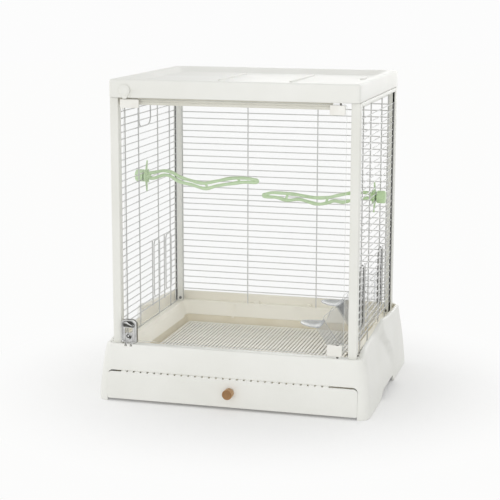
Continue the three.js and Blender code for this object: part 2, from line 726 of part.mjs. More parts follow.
function makeBackPanel() {
  const w = WIRE / 2;
  const half = POST_INNER_X + EDGE_INSET;
  const wires = [];
  const wire = (layer, x0, x1, z0, z1) => {
    const y = BACK_Y - layer;
    wires.push(block(x0, x1, y - w, y + w, z0, z1));
  };
  const rows = ROWS.map(backRowZ);
  for (const z of rows) wire(0, -half, half, z - w, z + w);
  for (const x of [-half, half]) wire(0, x - w, x + w, rows[0] - w, rows.at(-1) + w);
  for (const x of [-BACK_BRACE_X, BACK_BRACE_X]) {
    wire(BRACE_LAYER, x - w, x + w, PANEL_LOW_Z, PANEL_HIGH_Z);
  }
  return join(...wires);
}

// The back panel has two closer rows about a third of the way up.
function backRowZ(k) {
  const closer = 1.65;
  return rowZ(k) - closer * Math.max(0, Math.min(2, k - 14));
}

// One sliding feeder hatch: a wire loop with a few bars, just inside the panel.
function makeGate(side, [a, b]) {
  const [w, low, high] = [WIRE / 2, SEED_GATE_LOW - GATE_LAP, SEED_GATE_HIGH + GATE_LAP];
  const [y0, y1] = [a + 2, b - 2];
  const wires = [y0, y1].map((y) => sideWire(side, GATE_LAYER, y - w, y + w, low - w, high + w));
  wires.push(sideWire(side, GATE_LAYER, y0, y1, low - w, low + w));
  wires.push(sideWire(side, GATE_LAYER, y0, y1, high - w, high + w));
  for (let z = low + GATE_PITCH; z < high - GATE_PITCH / 2; z += GATE_PITCH) {
    wires.push(sideWire(side, GATE_LAYER, y0, y1, z - w, z + w));
  }
  return join(...wires);
}

const HOOK_Y = BASE_Y - HOOK_BACK;
const HOOK_LOW_Z = RAIL_LOW_Z - HOOK_DROP;

// The two upright ends of the hanging loop, or the holes for them in the left rail when grown.
function hookLegs(grow) {
  const x = -(PANEL_X - GATE_LAYER) + 0.4;
  return [-1, 1].map((s) => {
    const y = HOOK_Y + (s * HOOK_W) / 2;
    const r = HOOK_WIRE / 2 + grow;
    return rod("z", r, 7 + grow, x, y, RAIL_LOW_Z - 1.5, 12);
  });
}

function makeHookLoop() {
  const x = -(PANEL_X - GATE_LAYER) + 0.4;
  const bend = HOOK_BEND;
  const half = HOOK_W / 2;
  const at = (y, z) => new THREE.Vector3(x, HOOK_Y + y, z);
  const points = [at(-half, RAIL_LOW_Z)];
  const turns = 3;
  for (let i = 0; i <= turns; i += 1) {
    const angle = Math.PI + (Math.PI / 2) * (i / turns);
    points.push(at(-half + bend + bend * Math.cos(angle), HOOK_LOW_Z + bend + bend * Math.sin(angle)));
  }
  for (let i = 0; i <= turns; i += 1) {
    const angle = Math.PI * 1.5 + (Math.PI / 2) * (i / turns);
    points.push(at(half - bend + bend * Math.cos(angle), HOOK_LOW_Z + bend + bend * Math.sin(angle)));
  }
  points.push(at(half, RAIL_LOW_Z));
  const joints = [];
  for (let i = 1; i < points.length; i += 1) {
    joints.push(stick(points[i - 1], points[i], HOOK_WIRE / 2));
  }
  return join(...joints, ...hookLegs(0));
}

// A round stick between two points, with a ball's worth of overlap at its ends.
function stick(from, to, radius, sides = 8) {
  const along = to.clone().sub(from);
  const length = along.length() + radius;
  const cylinder = new THREE.CylinderGeometry(radius, radius, length, sides);
  const turn = new THREE.Quaternion().setFromUnitVectors(
    new THREE.Vector3(0, 1, 0),
    along.clone().normalize(),
  );
  cylinder.applyQuaternion(turn);
  const middle = from.clone().add(to).multiplyScalar(0.5);
  return solid(cylinder.translate(middle.x, middle.y, middle.z));
}

// ---- door and its fittings ----

function makeDoorSheet() {
  return block(-DOOR_W / 2, DOOR_W / 2, DOOR_FRONT, DOOR_BACK, DOOR_LOW_Z, DOOR_HIGH_Z);
}

const BLOCK_BACK = DOOR_FRONT - GAP;
const BLOCK_RIGHT = HINGE_X + BLOCK_EDGE;

function makeHingeBlock(low, height) {
  const body = block(
    BLOCK_RIGHT - BLOCK_W,
    BLOCK_RIGHT,
    BLOCK_BACK - BLOCK_T,
    BLOCK_BACK,
    low,
    low + height,
  );
  return cut(body, rod("z", PIN_R + 0.1, height + 2, HINGE_X, HINGE_Y, low - 1));
}

const UPPER_BLOCK_Z = DOOR_HIGH_Z - 1 - UPPER_BLOCK_H;
const LOWER_BLOCK_Z = DOOR_LOW_Z - 1;

const makePin = (low, high) => rod("z", PIN_R, high - low, HINGE_X, HINGE_Y, low, 20);

function makeClip() {
  const x0 = -DOOR_W / 2 - 2.7;
  const low = DOOR_HIGH_Z - CLIP_H;
  const body = block(x0, x0 + CLIP_W, BLOCK_BACK - BLOCK_T, BLOCK_BACK, low, DOOR_HIGH_Z);
  const wedge = profileAlong(
    "y",
    [
      [x0, low + 1],
      [x0 + 2.6, low - 4],
      [x0 + 5, low + 1],
    ],
    -BLOCK_BACK,
    -(BLOCK_BACK - BLOCK_T),
  );
  return join(body, wedge);
}

const LATCH_X = LATCH_INSET - DOOR_W / 2;
const LATCH_LOW_Z = SILL_Z + 1;
const BOLT_LOW_Z = SILL_Z - BOLT_REACH;
const LATCH_BACK = DOOR_FRONT - GAP;
const LATCH_FRONT = LATCH_BACK - LATCH_T;
const BOLT_Y = LATCH_BACK - 1 - BOLT_T; // front face of the sliding bolt

function makeLatchPlate() {
  const outline = new THREE.Shape();
  const [w, h, r] = [LATCH_W / 2, LATCH_H, 6];
  outline.moveTo(-w, 0);
  outline.lineTo(w, 0);
  outline.lineTo(w, h - r);
  outline.absarc(w - r, h - r, r, 0, Math.PI / 2);
  outline.absarc(r - w, h - r, r, Math.PI / 2, Math.PI);
  const plate = new THREE.ExtrudeGeometry(outline, {
    depth: LATCH_T,
    bevelEnabled: false,
    curveSegments: 5,
  });
  plate.rotateX(Math.PI / 2).translate(LATCH_X, LATCH_BACK, LATCH_LOW_Z);
  const half = BOLT_W / 2 + GAP;
  const top = LATCH_LOW_Z + 19 + BOLT_TRAVEL;
  const channel = block(
    LATCH_X - half,
    LATCH_X + half,
    BOLT_Y - GAP,
    LATCH_BACK + EPS,
    LATCH_LOW_Z - EPS,
    top,
  );
  const window = block(LATCH_X - 4.3, LATCH_X + 4.3, LATCH_FRONT - EPS, LATCH_BACK, THUMB_LOW - GAP, top);
  return cut(solid(plate), channel, window);
}

const THUMB_LOW = LATCH_LOW_Z + 8;
const THUMB_H = 9;

// The bolt's two feet, or the notches that they drop into when grown and run forward.
function boltFeet(grow, low, high, forward = 0) {
  return [-1, 1].map((s) => {
    const x = LATCH_X + s * (BOLT_W / 2 - 1.8);
    return block(
      x - 1.8 - grow,
      x + 1.8 + grow,
      BOLT_Y - grow - forward,
      BOLT_Y + BOLT_T + grow,
      low,
      high,
    );
  });
}

function makeBolt() {
  const strap = block(
    LATCH_X - BOLT_W / 2,
    LATCH_X + BOLT_W / 2,
    BOLT_Y,
    BOLT_Y + BOLT_T,
    LATCH_LOW_Z + 2,
    LATCH_LOW_Z + 18,
  );
  const thumb = block(
    LATCH_X - 4,
    LATCH_X + 4,
    LATCH_FRONT - 1.5,
    BOLT_Y + 1,
    THUMB_LOW,
    THUMB_LOW + THUMB_H,
  );
  return join(strap, thumb, ...boltFeet(0, BOLT_LOW_Z, LATCH_LOW_Z + 3));
}

const BUTTON_X = BUTTON_INSET - DOOR_W / 2;
const BUTTON_Z = COVER_LOW_Z + BUTTON_RISE;

// A teardrop button: a low dome with a tip that points down at the clip.
function makeTurnButton() {
  const thick = 4.5;
  const outline = new THREE.Shape();
  outline.moveTo(3, -BUTTON_TIP);
  outline.absarc(0, 0, BUTTON_R, -0.5, Math.PI + 0.5);
  outline.lineTo(-3, -BUTTON_TIP);
  const body = new THREE.ExtrudeGeometry(outline, { depth: thick - 2, bevelEnabled: false, curveSegments: 12 });
  body.rotateX(Math.PI / 2);
  body.translate(BUTTON_X, COVER_FRONT - GAP, BUTTON_Z);
  const dome = new THREE.LatheGeometry(
    [
      [0, -0.5],
      [BUTTON_R - 1, -0.5],
      [BUTTON_R - 1, 0],
      [BUTTON_R * 0.72, 1.4],
      [BUTTON_R * 0.35, 2.2],
      [0, 2.4],
    ].map(([r, h]) => new THREE.Vector2(r, h)),
    24,
  );
  dome.rotateX(Math.PI);
  dome.translate(BUTTON_X, COVER_FRONT - GAP - thick + 2, BUTTON_Z);
  const pivot = rod("y", SCREW_R, COVER_WALL + 1.5, BUTTON_X, COVER_FRONT - GAP - 0.5, BUTTON_Z, 16);
  return join(solid(body), solid(dome), pivot);
}

// ---- perches ----

// The stems' wave: distance in from the panel, height of the upper and of the lower stem.
const LEFT_WAVE = {
  upper: [[0, 3], [14, 6], [31, 9.3], [46, 7], [60, 0], [76, -4.6], [100, -9], [124, -4.4], [150, 1.2], [177, 2.2], [190, 0]],
  lower: [[0, -3], [13, -4], [31, 1.9], [42, 0.8], [58, -7.7], [81, -12.7], [104, -17.9], [124, -12.6], [147, -8.3], [170, -4.7], [190, -4.5]],
};
const RIGHT_WAVE = {
  upper: [[0, 3], [18, 6.5], [36, 5], [56, 1], [73, -3.5], [88, -5.6], [103, -5.7], [132, -2], [160, -0.4], [176, -1], [184, -4]],
  lower: [[0, -3], [18, -3], [36, -7], [53, -11.3], [68, -9.9], [80, -14], [95, -16.4], [112, -13], [127, -9.8], [147, -12.3], [165, -8.3], [184, -8]],
};
const PERCHES = [
  { name: "left", side: -1, y: BASE_Y - 15, row: 20, wave: LEFT_WAVE, struts: [104, 160] },
  { name: "right", side: 1, y: BASE_Y + 4, row: 18, wave: RIGHT_WAVE, struts: [78, 146] },
];
const PLATE_OUT = PANEL_X - WIRE / 2 - GAP; // the plate lies against the rows from inside
const NUT_IN = PANEL_X + WIRE / 2 + GAP; // and the nut against them from outside

function makePerch({ side, y, row, wave, struts }) {
  const z = rowZ(row) + ROW_PITCH / 2;
  const reach = (d) => side * (PLATE_OUT - PLATE_T / 2 - d);
  const stem = (points) => {
    const line = new THREE.CatmullRomCurve3(points.map(([d, h]) => new THREE.Vector3(reach(d), y, z + h)));
    const section = new THREE.Shape().absarc(0, 0, PERCH_ROD, 0, Math.PI * 2);
    return { line, tube: solid(new THREE.ExtrudeGeometry(section, { extrudePath: line, steps: 22, curveSegments: 4 })) };
  };
  const upper = stem(wave.upper);
  const lower = stem(wave.lower);
  const ends = [wave.upper.at(-1), wave.lower.at(-1)].map(([d, h]) => new THREE.Vector3(reach(d), y, z + h));
  const tip = stick(ends[0], ends[1], PERCH_ROD);
  const onStem = (points, d) => {
    const i = points.findIndex(([p]) => p >= d);
    const [[d0, h0], [d1, h1]] = [points[i - 1], points[i]];
    return new THREE.Vector3(reach(d), y, z + h0 + ((h1 - h0) * (d - d0)) / (d1 - d0));
  };
  const links = struts.map((d) => stick(onStem(wave.upper, d), onStem(wave.lower, d + 4), 1.6));
  const [p0, p1] = [side * (PLATE_OUT - PLATE_T), side * PLATE_OUT].sort((a, b) => a - b);
  const plate = rod("x", PLATE_R, PLATE_T, p0, y, z, 20);
  const leafOutline = [
    [-LEAF_REACH, 0],
    [-9, 5],
    [9, 5],
    [LEAF_REACH, 0],
    [9, -5],
    [-9, -5],
  ].map(([a, b]) => [y + b, z + a]);
  const leaf = profileAlong("x", leafOutline, p0, p1);
  const studFrom = side > 0 ? p0 + 1 : -(NUT_IN + NUT_T - 3);
  const stud = rod("x", STUD_R, NUT_IN + NUT_T - 3 - (PLATE_OUT - PLATE_T + 1), studFrom, y, z, 16);
  return join(upper.tube, lower.tube, tip, ...links, plate, leaf, stud);
}

function makePerchNut({ side, y, row }) {
  const z = rowZ(row) + ROW_PITCH / 2;
  const start = side > 0 ? NUT_IN : -(NUT_IN + NUT_T);
  const boreStart = side > 0 ? NUT_IN - 1 : -(NUT_IN + NUT_T - 2.5);
  return cut(
    rod("x", NUT_R, NUT_T, start, y, z, 28),
    rod("x", STUD_R + GAP, NUT_T - 1.5, boreStart, y, z, 16),
  );
}

// ---- feeder cups ----

const CUP_FRONTS = [gateSpans.right[0][0] - 4.5, gateSpans.right[1][0] - 11.5];
const CUP_BACK_X = PANEL_X - CUP_GAP;
const CUP_LIP_X = CUP_BACK_X - CUP_DEPTH;
const CUP_LOW_Z = rowZ(CUP_ROW) - CUP_DROP;
const CUP_LIP_Z = CUP_LOW_Z + CUP_LIP_H;
const CUP_BACK_Z = CUP_LOW_Z + CUP_BACK_H;

function makeCup(front) {
  const side = [
    [CUP_BACK_X, CUP_BACK_Z],
    [CUP_BACK_X, CUP_LOW_Z + 20],
    [CUP_BACK_X - 18, CUP_LOW_Z],
    [CUP_LIP_X + 27, CUP_LOW_Z],
    [CUP_LIP_X, CUP_LIP_Z],
    [CUP_LIP_X + 8, CUP_LIP_Z + 2],
    [CUP_LIP_X + 14, CUP_LIP_Z + 19],
  ];
  const t = CUP_WALL;
  const inside = [
    [CUP_BACK_X - t, CUP_BACK_Z + 20],
    [CUP_BACK_X - t, CUP_LOW_Z + 20 + t],
    [CUP_BACK_X - 18 - t / 2, CUP_LOW_Z + t],
    [CUP_LIP_X + 28, CUP_LOW_Z + t],
    [CUP_LIP_X + t + 0.6, CUP_LIP_Z + 1],
    [CUP_LIP_X + t + 0.6, CUP_BACK_Z + 20],
  ];
  const [y0, y1] = [front, front + CUP_W];
  const body = profileAlong("y", side, -y1, -y0);
  const hollow = profileAlong("y", inside, t - y1, -y0 - t);
  const middle = (y0 + y1) / 2;
  const spout = new THREE.Shape();
  const half = TONGUE_W / 2;
  spout.moveTo(CUP_LIP_X + 3, middle - half - 8);
  spout.lineTo(CUP_LIP_X + 3, middle + half + 8);
  spout.quadraticCurveTo(CUP_LIP_X - TONGUE * 0.4, middle + half + 3, CUP_LIP_X - TONGUE * 0.8, middle + half * 0.75);
  spout.quadraticCurveTo(CUP_LIP_X - TONGUE * 1.2, middle, CUP_LIP_X - TONGUE * 0.8, middle - half * 0.75);
  spout.quadraticCurveTo(CUP_LIP_X - TONGUE * 0.4, middle - half - 3, CUP_LIP_X + 3, middle - half - 8);
  const tongue = new THREE.ExtrudeGeometry(spout, { depth: t, bevelEnabled: false, curveSegments: 6 });
  tongue.translate(0, 0, CUP_LIP_Z - t - 1);
  const rowTop = rowZ(CUP_ROW) + WIRE / 2 + GAP;
  const lipX = PANEL_X + WIRE / 2 + GAP;
  const hooks = [y0 + 0.4, y1 - 0.4 - CUP_HOOK_W].flatMap((y) => [
    block(CUP_BACK_X - t, lipX + 2, y, y + CUP_HOOK_W, rowTop, rowTop + 2),
    block(lipX, lipX + 2, y, y + CUP_HOOK_W, rowTop - 4.5, rowTop + 2),
  ]);
  return join(cut(body, hollow), solid(tongue), ...hooks);
}

// ---- the assembly ----

place("base", makeBase(), shellWhite);
place("floor_grid", makeFloorGrid(), trayCream);
place("drawer_tray", makeTray(), trayCream);
place("drawer_front", makeDrawerFront(), shellWhite);
place("drawer_knob", makeKnob(), knobWood);
place("knob_screw", makeKnobScrew(), steel);

corners.forEach((corner, i) => {
  place(`post_${corner.name}`, makePost(corner, screwPlaces[i]), shellWhite);
  place(screwPlaces[i].name, screwPlaces[i].screw, steel);
});
place("front_top_rail", makeFrontRail(), shellWhite);
place("rear_top_rail", makeRearRail(), shellWhite);
place("left_top_rail", makeSideRail(-1), shellWhite);
place("right_top_rail", makeSideRail(1), shellWhite);
place("top_cover", makeCover(), shellWhite);

place("left_panel", makeSidePanel(-1, gateSpans.left), wireWhite);
place("right_panel", makeSidePanel(1, gateSpans.right), wireWhite);
place("back_panel", makeBackPanel(), wireWhite);
for (const [name, side] of [["left", -1], ["right", 1]]) {
  gateSpans[name].forEach((span, i) => {
    place(`${name}_hatch_${i ? "rear" : "front"}`, makeGate(side, span), wireWhite);
  });
}
place("treat_hook", makeHookLoop(), wireWhite);

place("door_sheet", makeDoorSheet(), clearSheet);
place("hinge_block_upper", makeHingeBlock(UPPER_BLOCK_Z, UPPER_BLOCK_H), trimWhite);
place("hinge_block_lower", makeHingeBlock(LOWER_BLOCK_Z, LOWER_BLOCK_H), trimWhite);
place("hinge_pin_upper", makePin(UPPER_BLOCK_Z + 2, COVER_LOW_Z + 11), steel);
place("hinge_pin_lower", makePin(SEAT_Z - 5, LOWER_BLOCK_Z + LOWER_BLOCK_H - 2), steel);
place("door_clip", makeClip(), trimWhite);
place("latch_plate", makeLatchPlate(), chrome);
place("latch_bolt", makeBolt(), chrome);
place("turn_button", makeTurnButton(), trimWhite);

for (const perch of PERCHES) {
  place(`${perch.name}_perch`, makePerch(perch), leafGreen);
  place(`${perch.name}_perch_nut`, makePerchNut(perch), leafGreen);
}
CUP_FRONTS.forEach((front, i) => place(`feeder_cup_${i ? "rear" : "front"}`, makeCup(front), clearCup));

export default cage;
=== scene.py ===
"""Canary breeding cage: the looks of every piece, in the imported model's frame.

Lengths are written in millimetres and turned into metres where a mesh is made.
"""
from math import atan2, copysign, cos, pi, radians, sin, sqrt, tan

import bmesh
import bpy
from mathutils import Matrix, Vector


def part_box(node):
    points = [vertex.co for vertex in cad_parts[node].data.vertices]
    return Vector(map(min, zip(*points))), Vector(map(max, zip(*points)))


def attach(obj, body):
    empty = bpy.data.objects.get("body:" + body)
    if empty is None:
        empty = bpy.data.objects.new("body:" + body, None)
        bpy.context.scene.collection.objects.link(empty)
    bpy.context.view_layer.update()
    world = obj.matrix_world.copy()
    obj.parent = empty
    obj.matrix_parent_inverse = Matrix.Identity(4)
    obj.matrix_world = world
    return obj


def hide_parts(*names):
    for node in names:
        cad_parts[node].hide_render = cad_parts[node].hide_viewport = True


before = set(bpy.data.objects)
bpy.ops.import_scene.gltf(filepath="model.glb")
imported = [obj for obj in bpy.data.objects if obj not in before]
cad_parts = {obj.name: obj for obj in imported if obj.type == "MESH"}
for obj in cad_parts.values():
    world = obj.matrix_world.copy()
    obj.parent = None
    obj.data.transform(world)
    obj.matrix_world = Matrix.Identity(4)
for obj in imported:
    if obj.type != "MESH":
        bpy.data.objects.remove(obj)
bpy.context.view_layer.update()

MM = 0.001


def span(node):
    """The low and high coordinate of a CAD node along x, y and z, in millimetres."""
    low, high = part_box(node)
    return [(a / MM, b / MM) for a, b in zip(low, high)]


def middle(pair):
    return sum(pair) / 2


# ---- driving sizes ----

BASE = span("base")
COVER = span("top_cover")
FOOT_X = BASE[0][1]
SEAT_Z = 92  # ledge that the posts and panels stand on
SEAT_X = COVER[0][1] + 0.3
SEAT_FRONT, SEAT_REAR = -159.5, COVER[1][1] + 0.3
WALL = 3
BASE_CORNER = 18
HOPPER_X = 184  # top edge of the hopper
HOPPER_Y = (-143.2, 158.2)
HOPPER_RUN = 16
HOPPER_LOW_Z = 67
LEDGE_Z = 55.4  # shelf that the floor grid lies on

ROW_Z = 114.5  # lowest wire row
ROW_PITCH = 11.25
ROWS = 32
WIRE_R = 0.9
UPRIGHT_R = 1.05
PANEL_X = 196.4
BACK_Y = 167.2
SLOT_IN, SLOT_OUT = 2.9, 1.2  # reach of a panel's slot to each side of its rows
LAYER = 1.7  # uprights lie this far inside the rows
SIDE_UPRIGHTS = (-105.5, -41.5, 56.5, 120.5)
BACK_UPRIGHTS = (-63.2, 63.2)
PANEL_FOOT, PANEL_HEAD = 89.3, 483.8
PANEL_Y = (-148.7, 163.7)
HATCH_Z = (128, 227)
HATCH_X = 192.6
HATCH_WAY_Z = (131, 224)
LEFT_SPANS = [(22.5, 56.5), (86.5, 120.5)]  # the hatches' openings along y
RIGHT_SPANS = [(-105.5, -71.5), (56.5, 90.5)]

GRID_PITCH = 6.2
TOOTH_PITCH, TOOTH_COUNT = 11.48, 31
PERCH_R = 2.8
PERCH_ROOT = 193.7  # distance of the stems' roots from the middle

# Side view of the base's rim: y, height.
RIM = [
    (-185, 94), (-164, 94), (-158, 95.5), (-150, 98.6), (-126, 101), (-81, 103.4), (-36, 104.4),
    (-18, 106.4), (-8, 115.4), (0, 119.6), (8, 119.8), (24, 117.4), (60, 114), (100, 112),
    (139, 110.4), (165, 108.8), (200, 108),
]
# How far the sides lean in from the foot, by height.
LEAN = [(0, 0), (5, 0), (19, 1.1), (38, 2.7), (62, 5.4), (77, 7.3), (94, 9.9), (125, 13.4)]
FRONT_LEAN = 10 / 10.7  # the front and rear lean in by this share of it
# Where the rear part of the sides swells out past the front part: height, y.
CREASE = [(40, 52), (52, 47), (62, 38), (80, 14), (96, -6), (104, -14), (125, -20)]
SWELL = 6
# Heights of the outside's rings, as shares of the rim's.
SHELL_LEVELS = (
    0.985, 0.96, 0.93, 0.9, 0.86, 0.82, 0.78, 0.74, 0.7, 0.66, 0.61, 0.56, 0.5, 0.44, 0.38, 0.3,
    0.2, 0.1, 0.03,
)
# The hopper from the ledge down, and its underside back up: inset, corner radius, height.
HOPPER = (
    (-1.5, 7, SEAT_Z), (-0.4, 6.5, SEAT_Z - 0.4), (0.4, 6, SEAT_Z - 1.6), (6, 6, 82.4),
    (6.6, 6, 81), (11.4, 6, 72.6),
    (11.2, 6, 71.6), (10.4, 6, 70.8),  # the slope's lower lip, over an upright step
    (10.6, 6, LEDGE_Z), (HOPPER_RUN + 5, 3, LEDGE_Z), (HOPPER_RUN + 5, 3, LEDGE_Z - 2.5),
    (7.6, 6, LEDGE_Z - 3), (7.6, 6, 70), (-2, 8, 87.5),
)


def along(table, t):
    """Value of a table of (t, value) pairs at t, with smooth slopes."""
    if t <= table[0][0]:
        return table[0][1]
    for i in range(1, len(table)):
        (t0, v0), (t1, v1) = table[i - 1], table[i]
        if t <= t1:
            before = table[max(i - 2, 0)]
            after = table[min(i + 1, len(table) - 1)]
            s0 = (v1 - before[1]) / (t1 - before[0])
            s1 = (after[1] - v0) / (after[0] - t0)
            u, h = (t - t0) / (t1 - t0), t1 - t0
            return (
                (2 * u**3 - 3 * u**2 + 1) * v0 + (u**3 - 2 * u**2 + u) * h * s0
                + (3 * u**2 - 2 * u**3) * v1 + (u**3 - u**2) * h * s1
            )
    return table[-1][1]


def smooth(t):
    t = max(0.0, min(1.0, t))
    return t * t * (3 - 2 * t)


def circle(sides):
    return [2 * pi * k / sides for k in range(sides)]


def row_z(k):
    return ROW_Z + ROW_PITCH * k


def back_row_z(k):
    """The back panel's upper rows hang a little lower than those of the sides."""
    return row_z(k) - 1.65 * max(0, min(2, k - 14))


def panel_slot(side):
    return sorted((side * (PANEL_X - SLOT_IN), side * (PANEL_X + SLOT_OUT)))


BACK_SLOT = (BACK_Y - SLOT_IN, BACK_Y + SLOT_OUT)


# ---- shapes ----


class Shape:
    """Collects points and faces in millimetres; each face has a material number."""

    def __init__(self):
        self.points, self.faces, self.looks = [], [], []

    def loft(self, rings, closed=False, look=0):
        """Skins rings of the same count; closed joins the ends, and else they are capped."""
        n, count, first = len(rings[0]), len(rings), len(self.points)
        faces = []
        for i in range(count if closed else count - 1):
            a, b = i * n, (i + 1) % count * n
            faces += [(a + j, a + (j + 1) % n, b + (j + 1) % n, b + j) for j in range(n)]
        if not closed:
            faces += [range(n - 1, -1, -1), range((count - 1) * n, count * n)]
        self.points.extend(Vector(p) for ring in rings for p in ring)
        self.faces.extend([first + i for i in face] for face in faces)
        self.looks.extend([look] * len(faces))
        return self

    def tube(self, path, radius, sides=10, closed=False, look=0):
        """A round bar along a path; radius is one number or one for each point."""
        path = [Vector(p) for p in path]
        count = len(path)
        radii = radius if isinstance(radius, list) else [radius] * count
        rings, normal = [], None
        for i, (point, r) in enumerate(zip(path, radii)):
            before = path[i - 1] if closed or i else point
            after = path[(i + 1) % count] if closed or i < count - 1 else point
            tangent = (after - before).normalized()
            normal = tangent.orthogonal() if normal is None else normal
            normal = (normal - tangent * normal.dot(tangent)).normalized()
            side = tangent.cross(normal)
            rings.append([point + (normal * cos(a) + side * sin(a)) * r for a in circle(sides)])
        return self.loft(rings, closed=closed, look=look)

    def revolve(self, profile, origin, axis, sides):
        """A turned form from (radius, distance along the axis) pairs."""
        axis = Vector(axis)
        u = axis.orthogonal().normalized()
        v = axis.cross(u)
        rings = [
            [
                Vector(origin) + axis * h + (u * cos(a) + v * sin(a)) * max(r, 0.02)
                for a in circle(sides)
            ]
            for r, h in profile
        ]
        return self.loft(rings)

    def prism(self, outline, axis, low, high):
        """An outline in the plane across the axis, pushed from low to high."""
        put = {
            "x": lambda a, b, c: (c, a, b),
            "y": lambda a, b, c: (a, c, b),
            "z": lambda a, b, c: (a, b, c),
        }[axis]
        return self.loft([[put(a, b, c) for a, b in outline] for c in (low, high)])

    def paint(self, look, where):
        """Gives the faces whose middle passes the test another material."""
        for i, face in enumerate(self.faces):
            if len(face) < 6 and where(sum((self.points[k] for k in face), Vector()) / len(face)):
                self.looks[i] = look

    def block(self, x, y, z):
        outline = [(x[0], y[0]), (x[1], y[0]), (x[1], y[1]), (x[0], y[1])]
        return self.prism(outline, "z", *z)


def fillet(corners, facets=5):
    """The outline through (a, b, radius) corners, each one rounded."""
    out = []
    for i, (a, b, r) in enumerate(corners):
        here = Vector((a, b))
        if r <= 0:
            out.append((a, b))
            continue
        before = Vector(corners[i - 1][:2]) - here
        after = Vector(corners[(i + 1) % len(corners)][:2]) - here
        half = before.angle(after) / 2
        back = min(r / tan(half), before.length * 0.499, after.length * 0.499)
        r = back * tan(half)
        before.normalize()
        after.normalize()
        centre = here + (before + after).normalized() * (r / sin(half))
        start, end = here + before * back - centre, here + after * back - centre
        from_angle = atan2(start.y, start.x)
        turn = (atan2(end.y, end.x) - from_angle + pi) % (2 * pi) - pi
        for k in range(facets + 1):
            angle = from_angle + turn * k / facets
            out.append((centre.x + r * cos(angle), centre.y + r * sin(angle)))
    return out


def rectangle(x, y, radius, facets=5):
    (x0, x1), (y0, y1) = x, y
    return fillet([(a, b, radius) for a, b in ((x0, y0), (x1, y0), (x1, y1), (x0, y1))], facets)


# A rounded rectangle's points, always in the same order: four corners, each followed by a side.
CORNER_FACETS, SIDE_STEPS = 10, 30
MARKS = []
for quarter in range(4):
    MARKS += [(quarter, i / CORNER_FACETS, None) for i in range(CORNER_FACETS + 1)]
    MARKS += [(quarter, None, i / SIDE_STEPS) for i in range(1, SIDE_STEPS)]


def spot(mark, half_x, y0, y1, radius):
    """Where the point with that mark lies on a rounded rectangle."""
    quarter, turn, run = mark

    def arc(q, t):
        angle = (q % 4 + t) * pi / 2
        cx = (half_x - radius) * (1 if q % 4 in (0, 3) else -1)
        cy = y1 - radius if q % 4 in (0, 1) else y0 + radius
        return Vector((cx + radius * cos(angle), cy + radius * sin(angle)))

    if run is None:
        return arc(quarter, turn)
    return arc(quarter, 1).lerp(arc(quarter + 1, 0), run)


# ---- making objects ----


def add_object(name, data):
    obj = bpy.data.objects.new(name, data)
    bpy.context.scene.collection.objects.link(obj)
    return obj


def mesh_object(name, shape, materials, sharp):
    bm = bmesh.new()
    verts = [bm.verts.new(p * MM) for p in shape.points]
    for face, look in zip(shape.faces, shape.looks):
        made = bm.faces.new([verts[i] for i in face])
        made.material_index = look
        made.smooth = True
    bmesh.ops.remove_doubles(bm, verts=bm.verts, dist=1e-7)
    bmesh.ops.recalc_face_normals(bm, faces=bm.faces)
    mesh = bpy.data.meshes.new(name)
    bm.to_mesh(mesh)
    bm.free()
    for material in materials:
        mesh.materials.append(material)
    mesh.set_sharp_from_angle(angle=radians(sharp))
    return add_object(name, mesh)


def piece(name, shape, body, material, replaces=None, bevel=0, carve=(), also=None,
          sharp=35):
    """One visible piece: rides its body, takes a finish, and stands for a CAD node.

    The shapes in carve are cut out of shape one by one, and also is added to it afterwards.
    No part of a cutter overlaps another, or the solver drops the whole piece.
    """
    materials = material if isinstance(material, list) else [material]
    obj = mesh_object(name, shape, materials, sharp)
    for tool in carve:
        cutter = mesh_object(name + "_cutter", tool, materials, sharp)
        modifier = obj.modifiers.new("carve", "BOOLEAN")
        modifier.object = cutter
        modifier.operation = "DIFFERENCE"
        modifier.solver = "EXACT"
        bpy.context.view_layer.update()
        depsgraph = bpy.context.evaluated_depsgraph_get()
        carved = bpy.data.meshes.new_from_object(obj.evaluated_get(depsgraph))
        obj.modifiers.clear()
        obj.data = carved
        bpy.data.objects.remove(cutter)
    if also is not None:
        extra = mesh_object(name + "_also", also, materials, sharp)
        bm = bmesh.new()
        bm.from_mesh(obj.data)
        bm.from_mesh(extra.data)
        bm.to_mesh(obj.data)
        bm.free()
        bpy.data.objects.remove(extra)
    if carve:
        obj.data.set_sharp_from_angle(angle=radians(sharp))
    if bevel:
        modifier = obj.modifiers.new("edges", "BEVEL")
        modifier.width = bevel * MM
        modifier.segments = 3
        modifier.limit_method = "ANGLE"
        modifier.angle_limit = radians(40)
        modifier.harden_normals = True
    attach(obj, body)
    if replaces:
        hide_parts(replaces)
    return obj


# ---- materials ----


def linear(r, g, b):
    """A colour given as values from 11 to 255."""
    return (*(((c / 255 + 0.055) / 1.055) ** 2.4 for c in (r, g, b)), 1)


def feed(node, inputs):
    """Sets a node's inputs: each to a value, or linked to a socket or a node's first output."""
    for key, value in inputs.items():
        if isinstance(value, bpy.types.Node):
            value = value.outputs[0]
        if isinstance(value, bpy.types.NodeSocket):
            node.id_data.links.new(value, node.inputs[key])
        else:
            node.inputs[key].default_value = value


def add_node(tree, kind, inputs=None, operation=None):
    node = tree.nodes.new("ShaderNode" + kind)
    if operation:
        node.operation = operation
    feed(node, inputs or {})
    return node


